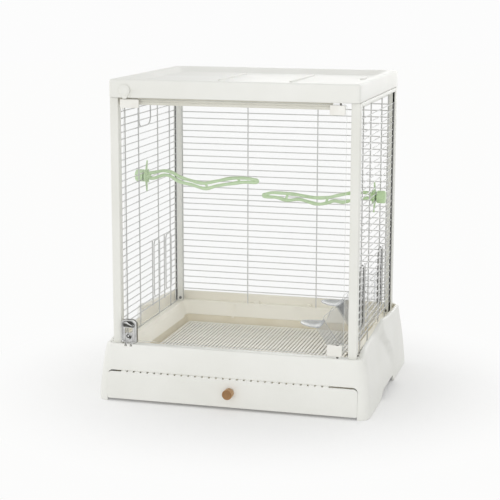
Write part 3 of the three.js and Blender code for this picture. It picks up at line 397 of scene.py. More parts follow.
def finish(name, dark, light, roughness, metallic=0.0, patch=9, grain=700, bump=0.02,
           stretch=(1, 1, 1), spread=0.05):
    """A moulded, painted or plated surface: soft patches of colour, fine grain in its gloss."""
    material = bpy.data.materials.new(name)
    material.use_nodes = True
    tree = material.node_tree
    shader = tree.nodes["Principled BSDF"]
    feed(shader, {"Metallic": metallic, "Roughness": roughness, "Base Color": linear(*light)})
    where = add_node(tree, "TexCoord")
    place = add_node(tree, "Mapping", {"Scale": stretch, "Vector": where.outputs["Object"]})
    patches = add_node(tree, "TexNoise", {"Scale": patch, "Detail": 3, "Vector": place})
    tone = add_node(tree, "ValToRGB", {"Fac": patches})
    low, high = tone.color_ramp.elements
    low.position, high.position = 0.35, 0.65
    low.color, high.color = linear(*dark), linear(*light)
    fine = add_node(tree, "TexNoise", {"Scale": grain, "Detail": 2, "Vector": place})
    gloss = add_node(tree, "MapRange", {
        "To Min": max(0.02, roughness - spread), "To Max": roughness + spread, "Value": fine,
    })
    relief = add_node(tree, "Bump", {"Strength": bump, "Distance": 0.0004, "Height": fine})
    feed(shader, {"Base Color": tone, "Roughness": gloss, "Normal": relief})
    return material


def clear(name, dark, light, face_on, edge_on, roughness):
    """A clear moulding: see-through face on, denser towards its edges."""
    material = finish(name, dark, light, roughness, patch=25, grain=260, bump=0.01, spread=0.03)
    tree = material.node_tree
    facing = add_node(tree, "LayerWeight", {"Blend": 0.35})
    amount = add_node(tree, "MapRange", {
        "To Min": face_on, "To Max": edge_on, "Value": facing.outputs["Facing"],
    })
    feed(tree.nodes["Principled BSDF"], {"IOR": 1.49, "Alpha": amount})
    return material


def grained_wood(name, dark, light):
    """Turned beech: rings and streaks along the knob's axis."""
    material = finish(name, dark, light, 0.5, patch=70, grain=900, bump=0.12, stretch=(1, 0.12, 1))
    tree = material.node_tree
    where = next(n for n in tree.nodes if n.type == "TEX_COORD")
    ramp = next(n for n in tree.nodes if n.type == "VALTORGB")
    patches = ramp.inputs["Fac"].links[0].from_socket
    shift = {"Location": (0.004, 0, -0.022), "Vector": where.outputs["Object"]}
    place = add_node(tree, "Mapping", shift)
    rings = add_node(tree, "TexWave", {"Scale": 180, "Distortion": 4, "Detail": 3, "Vector": place})
    rings.wave_type = "RINGS"
    rings.rings_direction = "Y"
    both = add_node(tree, "Math", {0: rings.outputs["Fac"], 1: 0.35, 2: patches}, "MULTIPLY_ADD")
    feed(ramp, {"Fac": both})
    low, high = ramp.color_ramp.elements
    low.position, high.position = 0.4, 0.95
    return material


WIRE_COAT = {"patch": 60, "grain": 1500, "bump": 0.06}
PLATED = {"metallic": 0.9, "patch": 120, "grain": 1800, "bump": 0.08}
CAST = {"patch": 90, "grain": 1200}
WHITE = finish("shell_white", (231, 231, 225), (236, 236, 231), 0.42, bump=0.03)
POST_WHITE = finish("post_white", (227, 227, 220), (232, 232, 226), 0.38, bump=0.03)
# painted shade: a warmer tint on the same moulding as shell_white, standing in for the shade inside
# the base
HOPPER_SHADE_TINT = finish("hopper_painted_shade_tint", (244, 239, 224), (248, 244, 231), 0.45, bump=0.03)
GRID_CREAM = finish("grid_cream", (251, 247, 236), (253, 250, 241), 0.42, patch=30)
TRAY_CREAM = finish("tray_cream", (250, 244, 226), (252, 247, 232), 0.5, patch=20)
STEP_SHADE = finish("hopper_step_painted_shade", (234, 225, 200), (240, 232, 210), 0.55, patch=30)
# painted shade: the front rail is a darker, warmer copy of post_white for the shade under the
# cover's rim
FRONT_RAIL_SHADE = finish("front_rail_painted_shade", (224, 221, 208), (230, 227, 215), 0.42, bump=0.03)
TRIM = finish("trim_white", (234, 232, 225), (240, 239, 233), 0.33, patch=40)
# painted shade: the white-coated wires are coloured grey for their shade; the back panel's copy is
# a little lighter
WIRE = finish("wire_white_painted_shade", (186, 186, 184), (200, 200, 198), 0.3, **WIRE_COAT)
BACK_WIRE = finish("wire_back_painted_shade", (204, 204, 203), (214, 214, 213), 0.3, **WIRE_COAT)
STEEL = finish("plated_steel", (82, 80, 76), (112, 110, 104), 0.34, **PLATED)
# painted shade: a dark copy of the hatch wire, used on the right hatches only
HATCH_PAINTED_SHADE = finish("hatch_painted_shade", (70, 70, 68), (98, 98, 95), 0.3, **PLATED)
CHROME = finish("chrome_plate", (182, 182, 181), (206, 206, 205), 0.2, 1.0, bump=0.04, **CAST)
# painted reflection: a darker copy of the chrome for the plate's edges
CHROME_EDGE_REFLECTION = finish("chrome_edge_painted_reflection", (136, 135, 130), (158, 157, 152), 0.24, 1.0, **CAST)
# painted shade: a dark copy of the chrome for the latch's recesses
CHROME_PAINTED_SHADE = finish("chrome_recess_painted_shade", (60, 60, 58), (84, 84, 81), 0.3, 0.9, **CAST)
GREEN = finish("perch_green", (186, 213, 164), (198, 223, 178), 0.3, patch=45, grain=900, bump=0.05)
KNOB_WOOD = grained_wood("knob_wood", (168, 128, 86), (204, 168, 124))
KNOB_END = grained_wood("knob_end_grain", (128, 92, 54), (162, 122, 78))
CUP = clear("cup_clear", (232, 233, 233), (240, 241, 241), 0.06, 0.26, 0.1)
# painted reflection: a denser, greyer copy of the clear cup for its edge bands and spout
CUP_EDGE_REFLECTION = clear("cup_edge_painted_reflection", (170, 174, 180), (204, 208, 213), 0.42, 0.78, 0.1)
SHEET = clear("door_clear", (226, 230, 230), (236, 239, 239), 0.05, 0.3, 0.06)
# painted highlight: a lighter, denser copy of the clear sheet for its edges
SHEET_EDGE_HIGHLIGHT = clear("door_edge_painted_highlight", (226, 230, 228), (242, 244, 242), 0.35, 0.6, 0.3)
DARK_GAP = finish("shadow_gap", (16, 16, 15), (26, 26, 24), 0.7, patch=60)


# ---- base ----


def swell(y, z):
    """How far a side stands out there beyond the plain flare."""
    amount = SWELL * smooth((z - 26) / 34)
    step = smooth((y - along(CREASE, z)) / 6) - 0.6
    return amount * step * smooth((178 - y) / 60) * smooth((y + 165) / 60)


def base_column(mark):
    """One closed slice: the hopper, the shell's inside, its outside, the rim and the seat."""
    plan = spot(mark, FOOT_X, *BASE[1], BASE_CORNER)
    on_side = abs(plan.x) > FOOT_X - 2
    high = along(RIM, plan.y)

    def outside(z):
        lean = max(0, along(LEAN, z))
        deep = lean * FRONT_LEAN
        p = spot(mark, FOOT_X - lean, BASE[1][0] + deep, BASE[1][1] - deep, BASE_CORNER)
        if on_side:
            p.x += copysign(1, p.x) * min(swell(plan.y, z), max(0, lean - 0.3))
        return p

    def inward(p, distance):
        near = spot(mark, FOOT_X - 40, BASE[1][0] + 40, BASE[1][1] - 40, BASE_CORNER - 10)
        return p + (near - p).normalized() * distance

    hopper = [
        (spot(mark, HOPPER_X - inset, HOPPER_Y[0] + inset, HOPPER_Y[1] - inset, radius), z)
        for inset, radius, z in HOPPER
    ]
    seat = spot(mark, SEAT_X, SEAT_FRONT, SEAT_REAR, 3)
    # the front part of each side closes in on the panel with a wide round shoulder
    shoulder = smooth((-8 - plan.y) / 22) if on_side else 0
    lip = outside(high)
    room = (lip - seat).length - 0.4
    wall = max(1.2, min(6 + 9 * shoulder, room))
    drop = 1.6 + 6.4 * shoulder
    shell = [
        (seat, SEAT_Z), (seat, SEAT_Z + 1),
        (seat.lerp(inward(lip, wall), 0.5), max(SEAT_Z + 1.2, high - 4)),
    ]
    peak = wall / 2 + (wall / 2 - 1.4) * shoulder
    for k in range(9):  # the rim's rounding
        turn = pi * k / 8
        reach, fall = (wall - peak, 1.2) if k < 4 else (peak, drop)
        across = inward(lip, peak + reach * cos(turn))
        shell.append((across, high - fall * (1 - sin(turn))))
    for t in SHELL_LEVELS:
        z = (high - drop - 0.9) * t
        shell.append((outside(z), z))
    shell += [(inward(outside(0), inset), z) for inset, z in ((0.3, 0.5), (1, 0), (WALL, 0))]
    shell += [(inward(outside(z), WALL), z) for z in (15, 34, 50, 64, 78, 87.5)]
    return [(p.x, p.y, z) for p, z in hopper + shell[::-1]]


def make_base():
    rings = list(zip(*(base_column(mark) for mark in MARKS)))
    base = Shape().loft(rings, closed=True)
    base.looks = []
    rim = len(rings) - 6  # first ring of the rim's inner face
    for i in range(len(rings)):
        # look 1 gives the hopper and the rim's inner face the warm painted shade tint
        look = 1 if i < len(HOPPER) - 3 or i >= rim else 0
        if i in (6, 7, 8):  # the upright step under the slope, painted a darker shade
            look = 2
        for mark in MARKS:
            front = spot(mark, SEAT_X, SEAT_FRONT, SEAT_REAR, 3).y < -140
            base.looks.append(0 if front and (i < 3 or i >= rim) else look)
    # the ledge's slots for the panels, the arches at the foot, the drawer's mouth and the notches
    carve, runners = Shape(), Shape()
    arch = [(-72, -3, 0), (60, -3, 0), (56, 5, 2), (50, 12.5, 3), (-36, 12.5, 6), (-52, 7, 6)]
    for side in (-1, 1):
        carve.block(panel_slot(side), (-145.2, 160.2), (89, 93))
        carve.prism(fillet(arch), "x", *sorted((side * 150, side * 240)))
        runners.block(sorted((side * 190, side * 216)), (-148, 162), (5.7, 8.7))
    carve.block((-186, 186), BACK_SLOT, (89, 93))
    (x0, x1), _, (_, z1) = span("drawer_front")
    x0, x1, top = x0 - 0.12, x1 + 0.12, z1 + 1.3
    mouth = fillet([(x0, -5, 0), (x1, -5, 0), (x1, top, 8.3), (x0, top, 8.3)], 8)
    carve.prism(mouth, "y", BASE[1][0] - 3, BASE[1][0] + 7)
    for s in (-1, 1):  # the latch's notches in the sill
        x = middle(span("latch_bolt")[0]) + s * 4.4
        carve.block((x - 2.1, x + 2.1), (-175, -158.7), (90.1, 97))
    piece(
        "base_shell", base, "cage", [WHITE, HOPPER_SHADE_TINT, STEP_SHADE], "base",
        carve=[carve], also=runners, sharp=40,
    )


def make_base_details():
    """The hopper's raised panels, and the ribs, clips and low step at its rear."""
    shape = Shape()
    slope = atan2(SEAT_Z - HOPPER_LOW_Z, HOPPER_RUN)
    panel = rectangle((-112, 128), (1.5, 21), 5, 6)
    for side in (-1, 1):
        low = Vector((side * (HOPPER_X - HOPPER_RUN + 2), HOPPER_LOW_Z + 2))
        up = Vector((side * cos(slope), sin(slope)))
        out = Vector((-side * sin(slope), cos(slope)))
        rings = []
        for lift, shrink in ((-0.6, 0), (0.35, 0), (0.7, 0.5), (0.8, 1.2)):
            ring = []
            for a, b in panel:
                a = 8 + (a - 8) * (1 - shrink / 120)
                b = 11.25 + (b - 11.25) * (1 - shrink / 9.75)
                p = low + up * b + out * lift
                ring.append((p.x, a, p.y))
            rings.append(ring)
        shape.loft(rings)
    rear = HOPPER_Y[1]
    rib = [
        (rear - 13, 70, 0.8), (rear - 4.5, 88, 1), (rear + 1, 92.6, 0.6), (rear + 2, 90, 0),
        (rear - 10, 68, 0),
    ]
    for x in (-86, 86):
        shape.prism(fillet(rib), "x", x - 1.4, x + 1.4)
    for x in (-48, 48):
        clip = [(x - 5, 92, 0), (x + 5, 92, 0), (x + 4, 96.6, 1), (x - 4, 96.6, 1)]
        shape.prism(fillet(clip), "y", 170, 176.5)
    step = [(159.6, 91.6, 0), (163.2, 91.6, 0), (163, 94, 0.7), (160, 93.6, 0.7)]
    shape.prism(fillet(step), "x", -184, 184)
    # the trim takes the hopper's warm painted shade tint
    piece("base_hopper_trim", shape, "cage", HOPPER_SHADE_TINT, sharp=40)


def make_floor_grid():
    (x0, x1), (y0, y1), (z0, z1) = span("floor_grid")
    shape = Shape()
    half_width, r = 2.1, 1.05  # the bars are oval
    count = int((x1 - x0 - 4) // GRID_PITCH)
    for i in range(count + 1):
        x = (i - count / 2) * GRID_PITCH
        oval = [(x + half_width * cos(a), z1 - r + r * sin(a)) for a in circle(10)]
        shape.prism(oval, "y", y0 + 0.4, y1 - 0.4)
    crosses = 7
    for j in range(crosses):
        y = y0 + 5 + (y1 - y0 - 10) * j / (crosses - 1)
        shape.tube([(x0 + 0.4, y, z0 + r + 0.3), (x1 - 0.4, y, z0 + r + 0.3)], r * 1.1, 8)
    edge = rectangle((x0 + 1.3, x1 - 1.3), (y0 + 1.3, y1 - 1.3), 4)
    shape.tube([(x, y, z1 - 1.5) for x, y in edge], 1.3, 8, closed=True)
    piece("floor_grid_bars", shape, "cage", GRID_CREAM, "floor_grid")


# ---- drawer ----


def make_drawer():
    (x0, x1), (y0, y1), (z0, z1) = span("drawer_front")
    face = [(x0, z0 + 3.2, 3), (x1, z0 + 3.2, 3), (x1, z1 - 0.6, 7), (x0, z1 - 0.6, 7)]
    front = Shape().prism(fillet(face, 8), "y", y0, y1)
    teeth = Shape()
    low, top = z1 - 1.6, z1 + 1.24
    for i in range(TOOTH_COUNT):  # small teeth along the top edge, with dark gaps between them
        x = (i - 13) * TOOTH_PITCH - 45.4 + TOOTH_PITCH / 2
        if abs(x) < 181:
            tooth = [(x - 4.2, low, 0), (x + 4.2, low, 0), (x + 4.1, top, 0.3), (x - 4.1, top, 0.3)]
            teeth.prism(fillet(tooth, 2), "y", y0 + 0.3, y1 - 0.2)
    piece("drawer_face_teeth", teeth, "drawer", WHITE)
    piece("drawer_face", front, "drawer", WHITE, "drawer_front", bevel=0.5)
    (x0, x1), (y0, y1), (z0, z1) = span("drawer_tray")
    rings = []
    for inset, z in (
        (2, z0), (0.5, z0 + 0.5), (0, z0 + 2), (0, z1 - 0.8), (0.6, z1), (1.9, z1), (2.5, z1 - 0.8),
        (2.7, z0 + 7), (4, z0 + 3.2), (7, z0 + 2.5),
    ):
        x, y = (x0 + inset, x1 - inset), (y0 + inset, y1 - inset)
        rings.append([(a, b, z) for a, b in rectangle(x, y, max(1, 6 - inset / 2), 5)])
    tray = Shape().loft(rings)
    piece("drawer_litter_tray", tray, "drawer", TRAY_CREAM, "drawer_tray")
    (x0, x1), (y0, y1), (z0, z1) = span("drawer_knob")
    r, length, sides = (x1 - x0) / 2, y1 - y0, 48
    profile = [
        (r * 0.8, 0), (r * 0.82, 0.6), (r * 0.82, length * 0.3), (r * 0.84, length * 0.62),
        (r * 0.865, length * 0.88), (r * 0.865, length * 0.93), (r * 0.85, length * 0.97),
        (r * 0.82, length), (0, length),
    ]
    knob = Shape().revolve(profile, (0, y1, (z0 + z1) / 2), (0, -1, 0), sides)
    knob.looks = [0] * (sides * 7) + [1] * sides + [0, 1]
    piece("drawer_knob_turned", knob, "drawer", [KNOB_WOOD, KNOB_END], "drawer_knob")
    screw("knob_screw", "drawer", "y", 1)


# ---- posts, rails, cover ----


def screw(node, body, axis, head_sign):
    """A pan-head screw with a ringed shank and a cross in its head."""
    box = span(node)
    index = "xyz".index(axis)
    centre = [middle(pair) for pair in box]
    low, high = box[index]
    head_at = high if head_sign > 0 else low
    direction, origin = Vector(), Vector(centre)
    direction[index], origin[index] = head_sign, head_at
    profile = [(0, 0), (1.4, -0.05), (2.3, -0.4), (2.75, -1.1), (2.78, -1.8), (1.6, -1.82)]
    length = high - low
    h = -2.2
    while h > -length + 1.6:
        profile += [(1.58, h), (1.3, h - 0.4)]
        h -= 0.8
    profile += [(1.2, -length + 1.4), (0, -length + 0.1)]
    shape = Shape().revolve(profile, origin, direction, 20)
    carve = []
    for wide in [i for i in range(3) if i != index]:  # the cross in the head
        halves = [1.7 if i == wide else 0.35 for i in range(3)]
        slot = [(c - half, c + half) for c, half in zip(centre, halves)]
        slot[index] = sorted((head_at + head_sign, head_at - 0.9 * head_sign))
        carve.append(Shape().block(*slot))
    piece(node + "_turned", shape, body, STEEL, node, carve=carve)


def make_post(name, sx, sy):
    """A post with a groove for each panel, a tenon on top and a screw at its foot."""
    half_groove, depth, r = 1.5, 6, 1.7
    (x0, x1), (y0, y1), (z0, z1) = span("post_" + name)
    cx, cy, half = (x0 + x1) / 2, (y0 + y1) / 2, (x1 - x0) / 2
    slot_x = sx * PANEL_X
    near, far = slot_x - half_groove, slot_x + half_groove
    inner, outer = cy - sy * half, cy + sy * half  # the groove is in the inner face
    deep = inner + sy * depth
    corners = [
        (x0, inner, r), (near, inner, 0.3), (near, deep, 0.2), (far, deep, 0.2), (far, inner, 0.3),
        (x1, inner, r), (x1, outer, r), (x0, outer, r),
    ]
    if sy > 0:
        face = cx - sx * half
        deep = face + sx * depth
        near, far = BACK_Y + half_groove, BACK_Y - half_groove
        back = [(face, near, 0.3), (deep, near, 0.2), (deep, far, 0.2), (face, far, 0.3)]
        if sx < 0:  # the face is the x1 side: between (x1, inner) and (x1, outer)
            corners[6:6] = back[::-1]
        else:
            corners += back
    shape = Shape().prism(fillet(corners, 4), "z", z0, z1 - 15.2)
    tx, ty = cx - sx * 1.5, cy
    tenon = rectangle((tx - 4.5, tx + 4.5), (ty - 4.5, ty + 4.5), 1)
    shape.prism(tenon, "z", z1 - 15.4, z1)
    # the grooves' inner faces are painted near-black as shadow
    shape.paint(1, lambda p: abs(p.x - slot_x) < 1.6 and 0.6 < (p.y - inner) * sy < 6.4)
    if sy > 0:
        shape.paint(1, lambda p: abs(p.y - BACK_Y) < 1.6 and 0.6 < (p.x - face) * sx < 6.4)
    looks = [POST_WHITE, DARK_GAP]
    piece("post_" + name + "_section", shape, "cage", looks, "post_" + name)
    screw("post_screw_" + name, "cage", *(("x", -sx) if sy < 0 else ("y", -1)))


def slotted_rail(across, slot, low, top, lips=(0, 0)):
    """A rail's section over a panel's edge; lips are how far its two feet stop short."""
    a, b, roof = low + lips[0], low + lips[1], low + 6
    return fillet([
        (across[0], a, 1), (slot[0], a, 0.3), (slot[0], roof, 0.2), (slot[1], roof, 0.2),
        (slot[1], b, 0.3), (across[1], b, 1), (across[1], top, 0.4), (across[0], top, 0.4),
    ], 3)


def make_rails():
    (x0, x1), (y0, y1), (z0, z1) = span("front_top_rail")
    back, split, cover_z = y0 + 0.9, 155, 489.2  # beyond split the door's hinge has room
    outline = fillet([
        (back, z0 + 5.2, 0.6), (y0, z0 + 4.2, 0.6), (y0, z0, 1.1), (y1, z0, 1), (y1, z1, 0),
        (back, z1, 0),
    ], 3)
    rail = Shape().prism(outline, "x", x0, split + 0.8)
    rail.prism([(back, cover_z), (y1, cover_z), (y1, z1), (back, z1)], "x", split, x1)
    # the front rail takes its darker painted shade colour
    piece("front_rail_lipped", rail, "cage", FRONT_RAIL_SHADE, "front_top_rail")

    def add_rail(node, outline, axis, low, high):
        rail = Shape().prism(outline, axis, low, high)
        piece(node + "_section", rail, "cage", POST_WHITE, node)

    for side, node in ((-1, "left_top_rail"), (1, "right_top_rail")):
        x, y, z = span(node)
        lips = (4.6 * (side < 0), 4.6 * (side > 0))  # the outer foot is short
        add_rail(node, slotted_rail(x, panel_slot(side), *z, lips), "y", *y)
    x, y, z = span("rear_top_rail")
    add_rail("rear_top_rail", slotted_rail(y, BACK_SLOT, *z), "x", *x)


def make_cover():
    (_, x1), (y0, y1), (z0, z1) = COVER
    floor = 510  # height of the sunk top
    profile = [
        (3, floor - 3.2), (3, z0 + 1.2), (2.6, z0 + 0.3), (1.6, z0), (0.6, z0 + 0.3),
        (0.15, z0 + 1.2), (0, z0 + 2.5), (0, z1 - 4),
    ]
    for k in range(1, 8):
        turn = pi / 2 * k / 7
        profile.append((3.6 * (1 - cos(turn)), z1 - 3.6 + 3.6 * sin(turn)))
    profile += [(8.5, z1), (10, z1 - 0.1)]
    for k in range(1, 13):
        t = k / 12
        profile.append((10 + 20 * t, z1 - 0.1 - (z1 - 0.1 - floor) * smooth(t)))
    rings = []
    for inset, z in profile:
        radius = 4.6 if inset < 3.6 else 1.2 + inset
        plan = (x1 - inset, y0 + inset, y1 - inset, radius)
        rings.append([(*spot(mark, *plan), z) for mark in MARKS])
    cover = Shape().loft(rings)
    extra = Shape()
    for x, from_y, to_y, width, height in (  # the ribs on the sunk top
        (-54, -48, 118, 4, 2.6), (65, -48, 118, 4, 2.6), (163, 36, 82, 4, 2.4),
    ):
        rings = []
        for lift, grow in (
            (-1.2, 0.8), (0.1, 0.6), (height * 0.6, 0.15), (height * 0.92, -0.3), (height, -0.9),
        ):
            across = (x - width / 2 - grow, x + width / 2 + grow)
            plan = rectangle(across, (from_y - grow * 2, to_y + grow * 2), width * 0.49, 5)
            rings.append([(a, b, floor + lift) for a, b in plan])
        extra.loft(rings)
    # the lug that takes the door's hinge pin
    extra.prism(rectangle((163, 177), (y0 + 2.5, -154.9), 1), "z", z0 + 0.2, floor - 2.5)
    notch = rectangle((-164.5, -146.8), (z0 - 3, z0 + 12.4), 2.4)
    piece(
        "top_cover_moulded", cover, "cage", WHITE, "top_cover",
        carve=[Shape().prism(notch, "y", y0 - 2, y0 + 1.6)], also=extra, sharp=40,
    )


# ---- wires ----


def make_side_panel(side, spans, node):
    shape = Shape()
    y0, y1 = PANEL_Y
    x = side * PANEL_X
    for k in range(ROWS):
        z = row_z(k)
        start = y0
        for a, b in spans if HATCH_WAY_Z[0] < z < HATCH_WAY_Z[1] else ():
            shape.tube([(x, start, z), (x, a + WIRE_R, z)], WIRE_R, 8)
            start = b - WIRE_R
        shape.tube([(x, start, z), (x, y1, z)], WIRE_R, 8)
    inside = side * (PANEL_X - LAYER)
    for y in SIDE_UPRIGHTS:
        shape.tube([(inside, y, PANEL_FOOT), (inside, y, PANEL_HEAD)], UPRIGHT_R, 10)
    for y in (y0, y1):
        shape.tube([(x, y, ROW_Z - 1), (x, y, row_z(ROWS - 1) + 1)], WIRE_R, 8)
    for a, b in spans:
        y = b if a in SIDE_UPRIGHTS else a
        shape.tube([(inside, y, ROW_Z - 0.9), (inside, y, row_z(10) + 0.9)], UPRIGHT_R, 10)
    piece(node + "_wires", shape, "cage", WIRE, node)


def make_back_panel():
    shape = Shape()
    half = 189.5
    for k in range(ROWS):
        z = back_row_z(k)
        shape.tube([(-half, BACK_Y, z), (half, BACK_Y, z)], WIRE_R, 8)
    y = BACK_Y - LAYER
    for x in BACK_UPRIGHTS:
        shape.tube([(x, y, PANEL_FOOT), (x, y, PANEL_HEAD)], UPRIGHT_R, 10)
    for x in (-half, half):
        top = back_row_z(ROWS - 1) + 1
        shape.tube([(x, BACK_Y, ROW_Z - 1), (x, BACK_Y, top)], WIRE_R, 8)
    piece("back_panel_wires", shape, "cage", BACK_WIRE, "back_panel")


def make_hatch(hand, end, a, b):
    """A sliding hatch: a wire loop with round corners, and thinner cross wires."""
    # the right hatches take a dark colour as painted shade; the left ones keep the white wire
    side, look, slot = (-1, WIRE, "white_wire") if hand == "left" else (1, HATCH_PAINTED_SHADE, "steel")
    low, high = HATCH_Z
    y0, y1 = a + 2, b - 2
    x = side * HATCH_X
    shape = Shape()
    loop = [(x, y, z) for y, z in rectangle((y0, y1), (low, high), 9, 6)]
    shape.tube(loop, WIRE_R, 10, closed=True)
    z = low + ROW_PITCH
    while z < high - 4:
        shape.tube([(x, y0, z), (x, y1, z)], WIRE_R * 0.8, 8, look=1)
        z += ROW_PITCH
    node = f"{hand}_hatch_{end}"
    piece(node + "_wires", shape, f"hatch_{hand}_{end}", [look, WIRE], node)


def make_treat_hook():
    x, (y0, y1), (z0, z1) = span("treat_hook")
    x, r = middle(x), 1.1
    left, right, low = y0 + r, y1 - r, z0 + r
    outline = fillet([(left, z1, 0), (left, low, 12), (right, low, 14), (right, z1, 0)], 8)
    shape = Shape().tube([(x, y, z) for y, z in outline], r, 10)
    piece("treat_hook_wire", shape, "cage", WIRE, "treat_hook")


# ---- door ----


def make_door():
    (x0, x1), (y0, y1), (z0, z1) = span("door_sheet")
    outline = rectangle((x0, x1), (z0, z1), 4, 5)
    mid = (z0 + z1) / 2
    sheet = Shape().loft([
        [(x * (1 - inset / 180), y, mid + (z - mid) * (1 - inset / 196)) for x, z in outline]
        for inset, y in ((0.5, y0), (0, y0 + 0.5), (0, y1 - 0.5), (0.5, y1))
    ])
    # the sheet's edges take the lighter, denser colour as a painted highlight
    sheet.looks = [1] * (3 * len(outline)) + [0, 0]
    piece("door_panel", sheet, "door", [SHEET, SHEET_EDGE_HIGHLIGHT], "door_sheet")
    up = (0, 0, 1)
    for level in ("upper", "lower"):
        node = "hinge_block_" + level
        x, y, z = span(node)
        block = Shape().prism(rectangle(x, z, 1.8, 4), "y", *y)
        pin_x, pin_y, _ = span("hinge_pin_" + level)
        bore = Shape().revolve(
            [(1.6, z[0] - 1), (1.6, z[1] + 1)], (middle(pin_x), middle(pin_y), 0), up, 20
        )
        piece(node + "_moulded", block, "door", TRIM, node, bevel=0.7, carve=[bore])
    for level in ("upper", "lower"):
        node = "hinge_pin_" + level
        x, y, (z0, z1) = span(node)
        r = (x[1] - x[0]) / 2
        profile = [
            (r * 0.6, z0), (r * 0.95, z0 + 0.5), (r, z0 + 1), (r, z1 - 1), (r * 0.95, z1 - 0.5),
            (r * 0.6, z1),
        ]
        pin = Shape().revolve(profile, (middle(x), middle(y), 0), up, 24)
        piece(node + "_turned", pin, "door", STEEL, node)
    (x0, x1), y, (z0, z1) = span("door_clip")
    low = z1 - 13.3
    clip = Shape().prism(fillet([
        (x0, z1, 1.5), (x0, low + 2, 1), (x0 + 2.6, z0, 0.8), (x0 + 5.4, low, 1.2), (x1, low, 2.2),
        (x1, z1, 1.5),
    ], 4), "y", *y)
    piece("door_clip_moulded", clip, "door", TRIM, "door_clip", bevel=0.7)


def make_latch():
    (x0, x1), (y0, y1), (z0, z1) = span("latch_plate")
    cx = (x0 + x1) / 2
    outline = fillet([(x0, z0, 2), (x1, z0, 2), (x1, z1, 7.5), (x0, z1, 7.5)], 8)
    mid = Vector((cx, (z0 + z1) / 2))

    def ring(inset, y):
        sx, sz = 1 - 2 * inset / (x1 - x0), 1 - 2 * inset / (z1 - z0)
        return [(mid.x + (x - mid.x) * sx, y, mid.y + (z - mid.y) * sz) for x, z in outline]

    # a raised rim, a groove inside it, and the face a little lower
    plate = Shape().loft([ring(0, y1)] + [
        ring(inset, y0 + depth) for inset, depth in (
            (0, 1.6), (0.35, 0.6), (1, 0.1), (1.7, 0), (2.4, 0.4), (2.9, 1.5), (3.6, 1.5),
            (4.2, 0.9),
        )
    ])
    # the side and first bevel take the darker chrome as painted reflection
    edge = 2 * len(outline)
    plate.looks = [1] * edge + [0] * (len(plate.faces) - edge)
    (bx0, bx1), (by0, _), (bz0, _) = span("latch_bolt")
    scoop = [
        (cx - 10, z1 - 12.6, 2), (cx + 9.6, z1 - 13.2, 2), (cx + 9.6, z1 - 6.5, 5),
        (cx + 4, z1 - 3, 4), (cx - 7, z1 - 3, 4), (cx - 10, z1 - 7, 3),
    ]
    window = rectangle((cx - 5, cx + 5), (z0 + 5, z0 + 24.3), 2)
    carve = [
        # the scoop under the top edge, the window for the bolt's boss, and the bolt's channel
        Shape().prism(fillet(scoop, 6), "y", y0 - 1, y0 + 2.6),
        Shape().prism(window, "y", y0 - 1, y1 - 0.6),
        Shape().block((bx0 - 0.3, bx1 + 0.3), (by0 + 2.2, y1 + 1), (z0 - 1, z0 + 24.9)),
    ]
    looks = [CHROME, CHROME_EDGE_REFLECTION]
    piece("latch_plate_cast", plate, "door", looks, "latch_plate", carve=carve)
    lip = Shape()
    path, thick = [], []
    for k in range(15):  # a bright lip that sweeps down across the scoop
        t = k / 14
        z = z1 - 6.6 - 4.4 * smooth(t) + 1.6 * sin(pi * t)
        path.append((cx - 9.2 + 15.5 * t, y0 + 1.5, z))
        thick.append(0.3 + 1.1 * sin(pi * min(1, 0.1 + 0.86 * t)))
    lip.tube(path, thick, 10)
    near, far = y0 + 1.4, y0 + 1.6
    left = [(cx - 8, far, z1 - 5.2), (cx - 5, near, z1 - 4.4), (cx - 1.6, far, z1 - 5.6)]
    lip.tube(left, [0.5, 1.3, 0.4], 10)
    right = [(cx + 6.6, far, z1 - 8), (cx + 8, y0 + 1.5, z1 - 9.8), (cx + 8.2, far, z1 - 11.2)]
    lip.tube(right, [0.4, 1, 0.4], 10)
    piece("latch_scoop_lip", lip, "door", CHROME)
    # painted shade: a dark chrome sheet lines the scoop's floor
    floor = [(a * 0.985 + cx * 0.015, b - 0.1 if b > z1 - 8 else b + 0.2, r) for a, b, r in scoop]
    recess = Shape().prism(fillet(floor, 6), "y", y0 + 2.3, y0 + 2.9)
    piece("latch_scoop_floor", recess, "door", CHROME_PAINTED_SHADE)
    # the sliding bolt: a flat strap with a round boss for the thumb and two feet
    top, crotch, foot = z0 + 16.3, z0 + 2.5, 3.6
    strap = fillet([
        (bx0, top, 2), (bx0, bz0, 0.8), (bx0 + foot, bz0, 0.8), (bx0 + foot, crotch, 1.2),
        (bx1 - foot, crotch, 1.2), (bx1 - foot, bz0, 0.8), (bx1, bz0, 0.8), (bx1, top, 2),
    ], 4)
    bolt = Shape().prism(strap, "y", by0 + 2.5, by0 + 5.5)
    first, sides = len(bolt.faces), 32
    boss = [
        (4.1, -1), (4.1, 1.6), (3.7, 2.3), (3.1, 2.5), (2.7, 1.6), (1.9, 1.6), (1.5, 2.4), (0, 2.9),
    ]
    bolt.revolve(boss, (cx - 0.6, by0 + 3, z0 + 11.4), (0, -1, 0), sides)
    bolt.looks[first + 3 * sides:first + 6 * sides] = [1] * (3 * sides)  # the dished ring, painted dark as shade
    # a dark tube painted in as the shade of a small curved slot in the strap
    hook = [(cx + 3.1 - 1.4 * (k / 6) ** 2, by0 + 0.6, z0 + 12.4 - 6.2 * k / 6) for k in range(7)]
    bolt.tube(hook, [0.35, 0.7, 0.95, 1.05, 1, 0.8, 0.4], 8, look=1)
    looks = [CHROME, CHROME_PAINTED_SHADE]
    piece("latch_bolt_cast", bolt, "latch", looks, "latch_bolt", bevel=0.25)


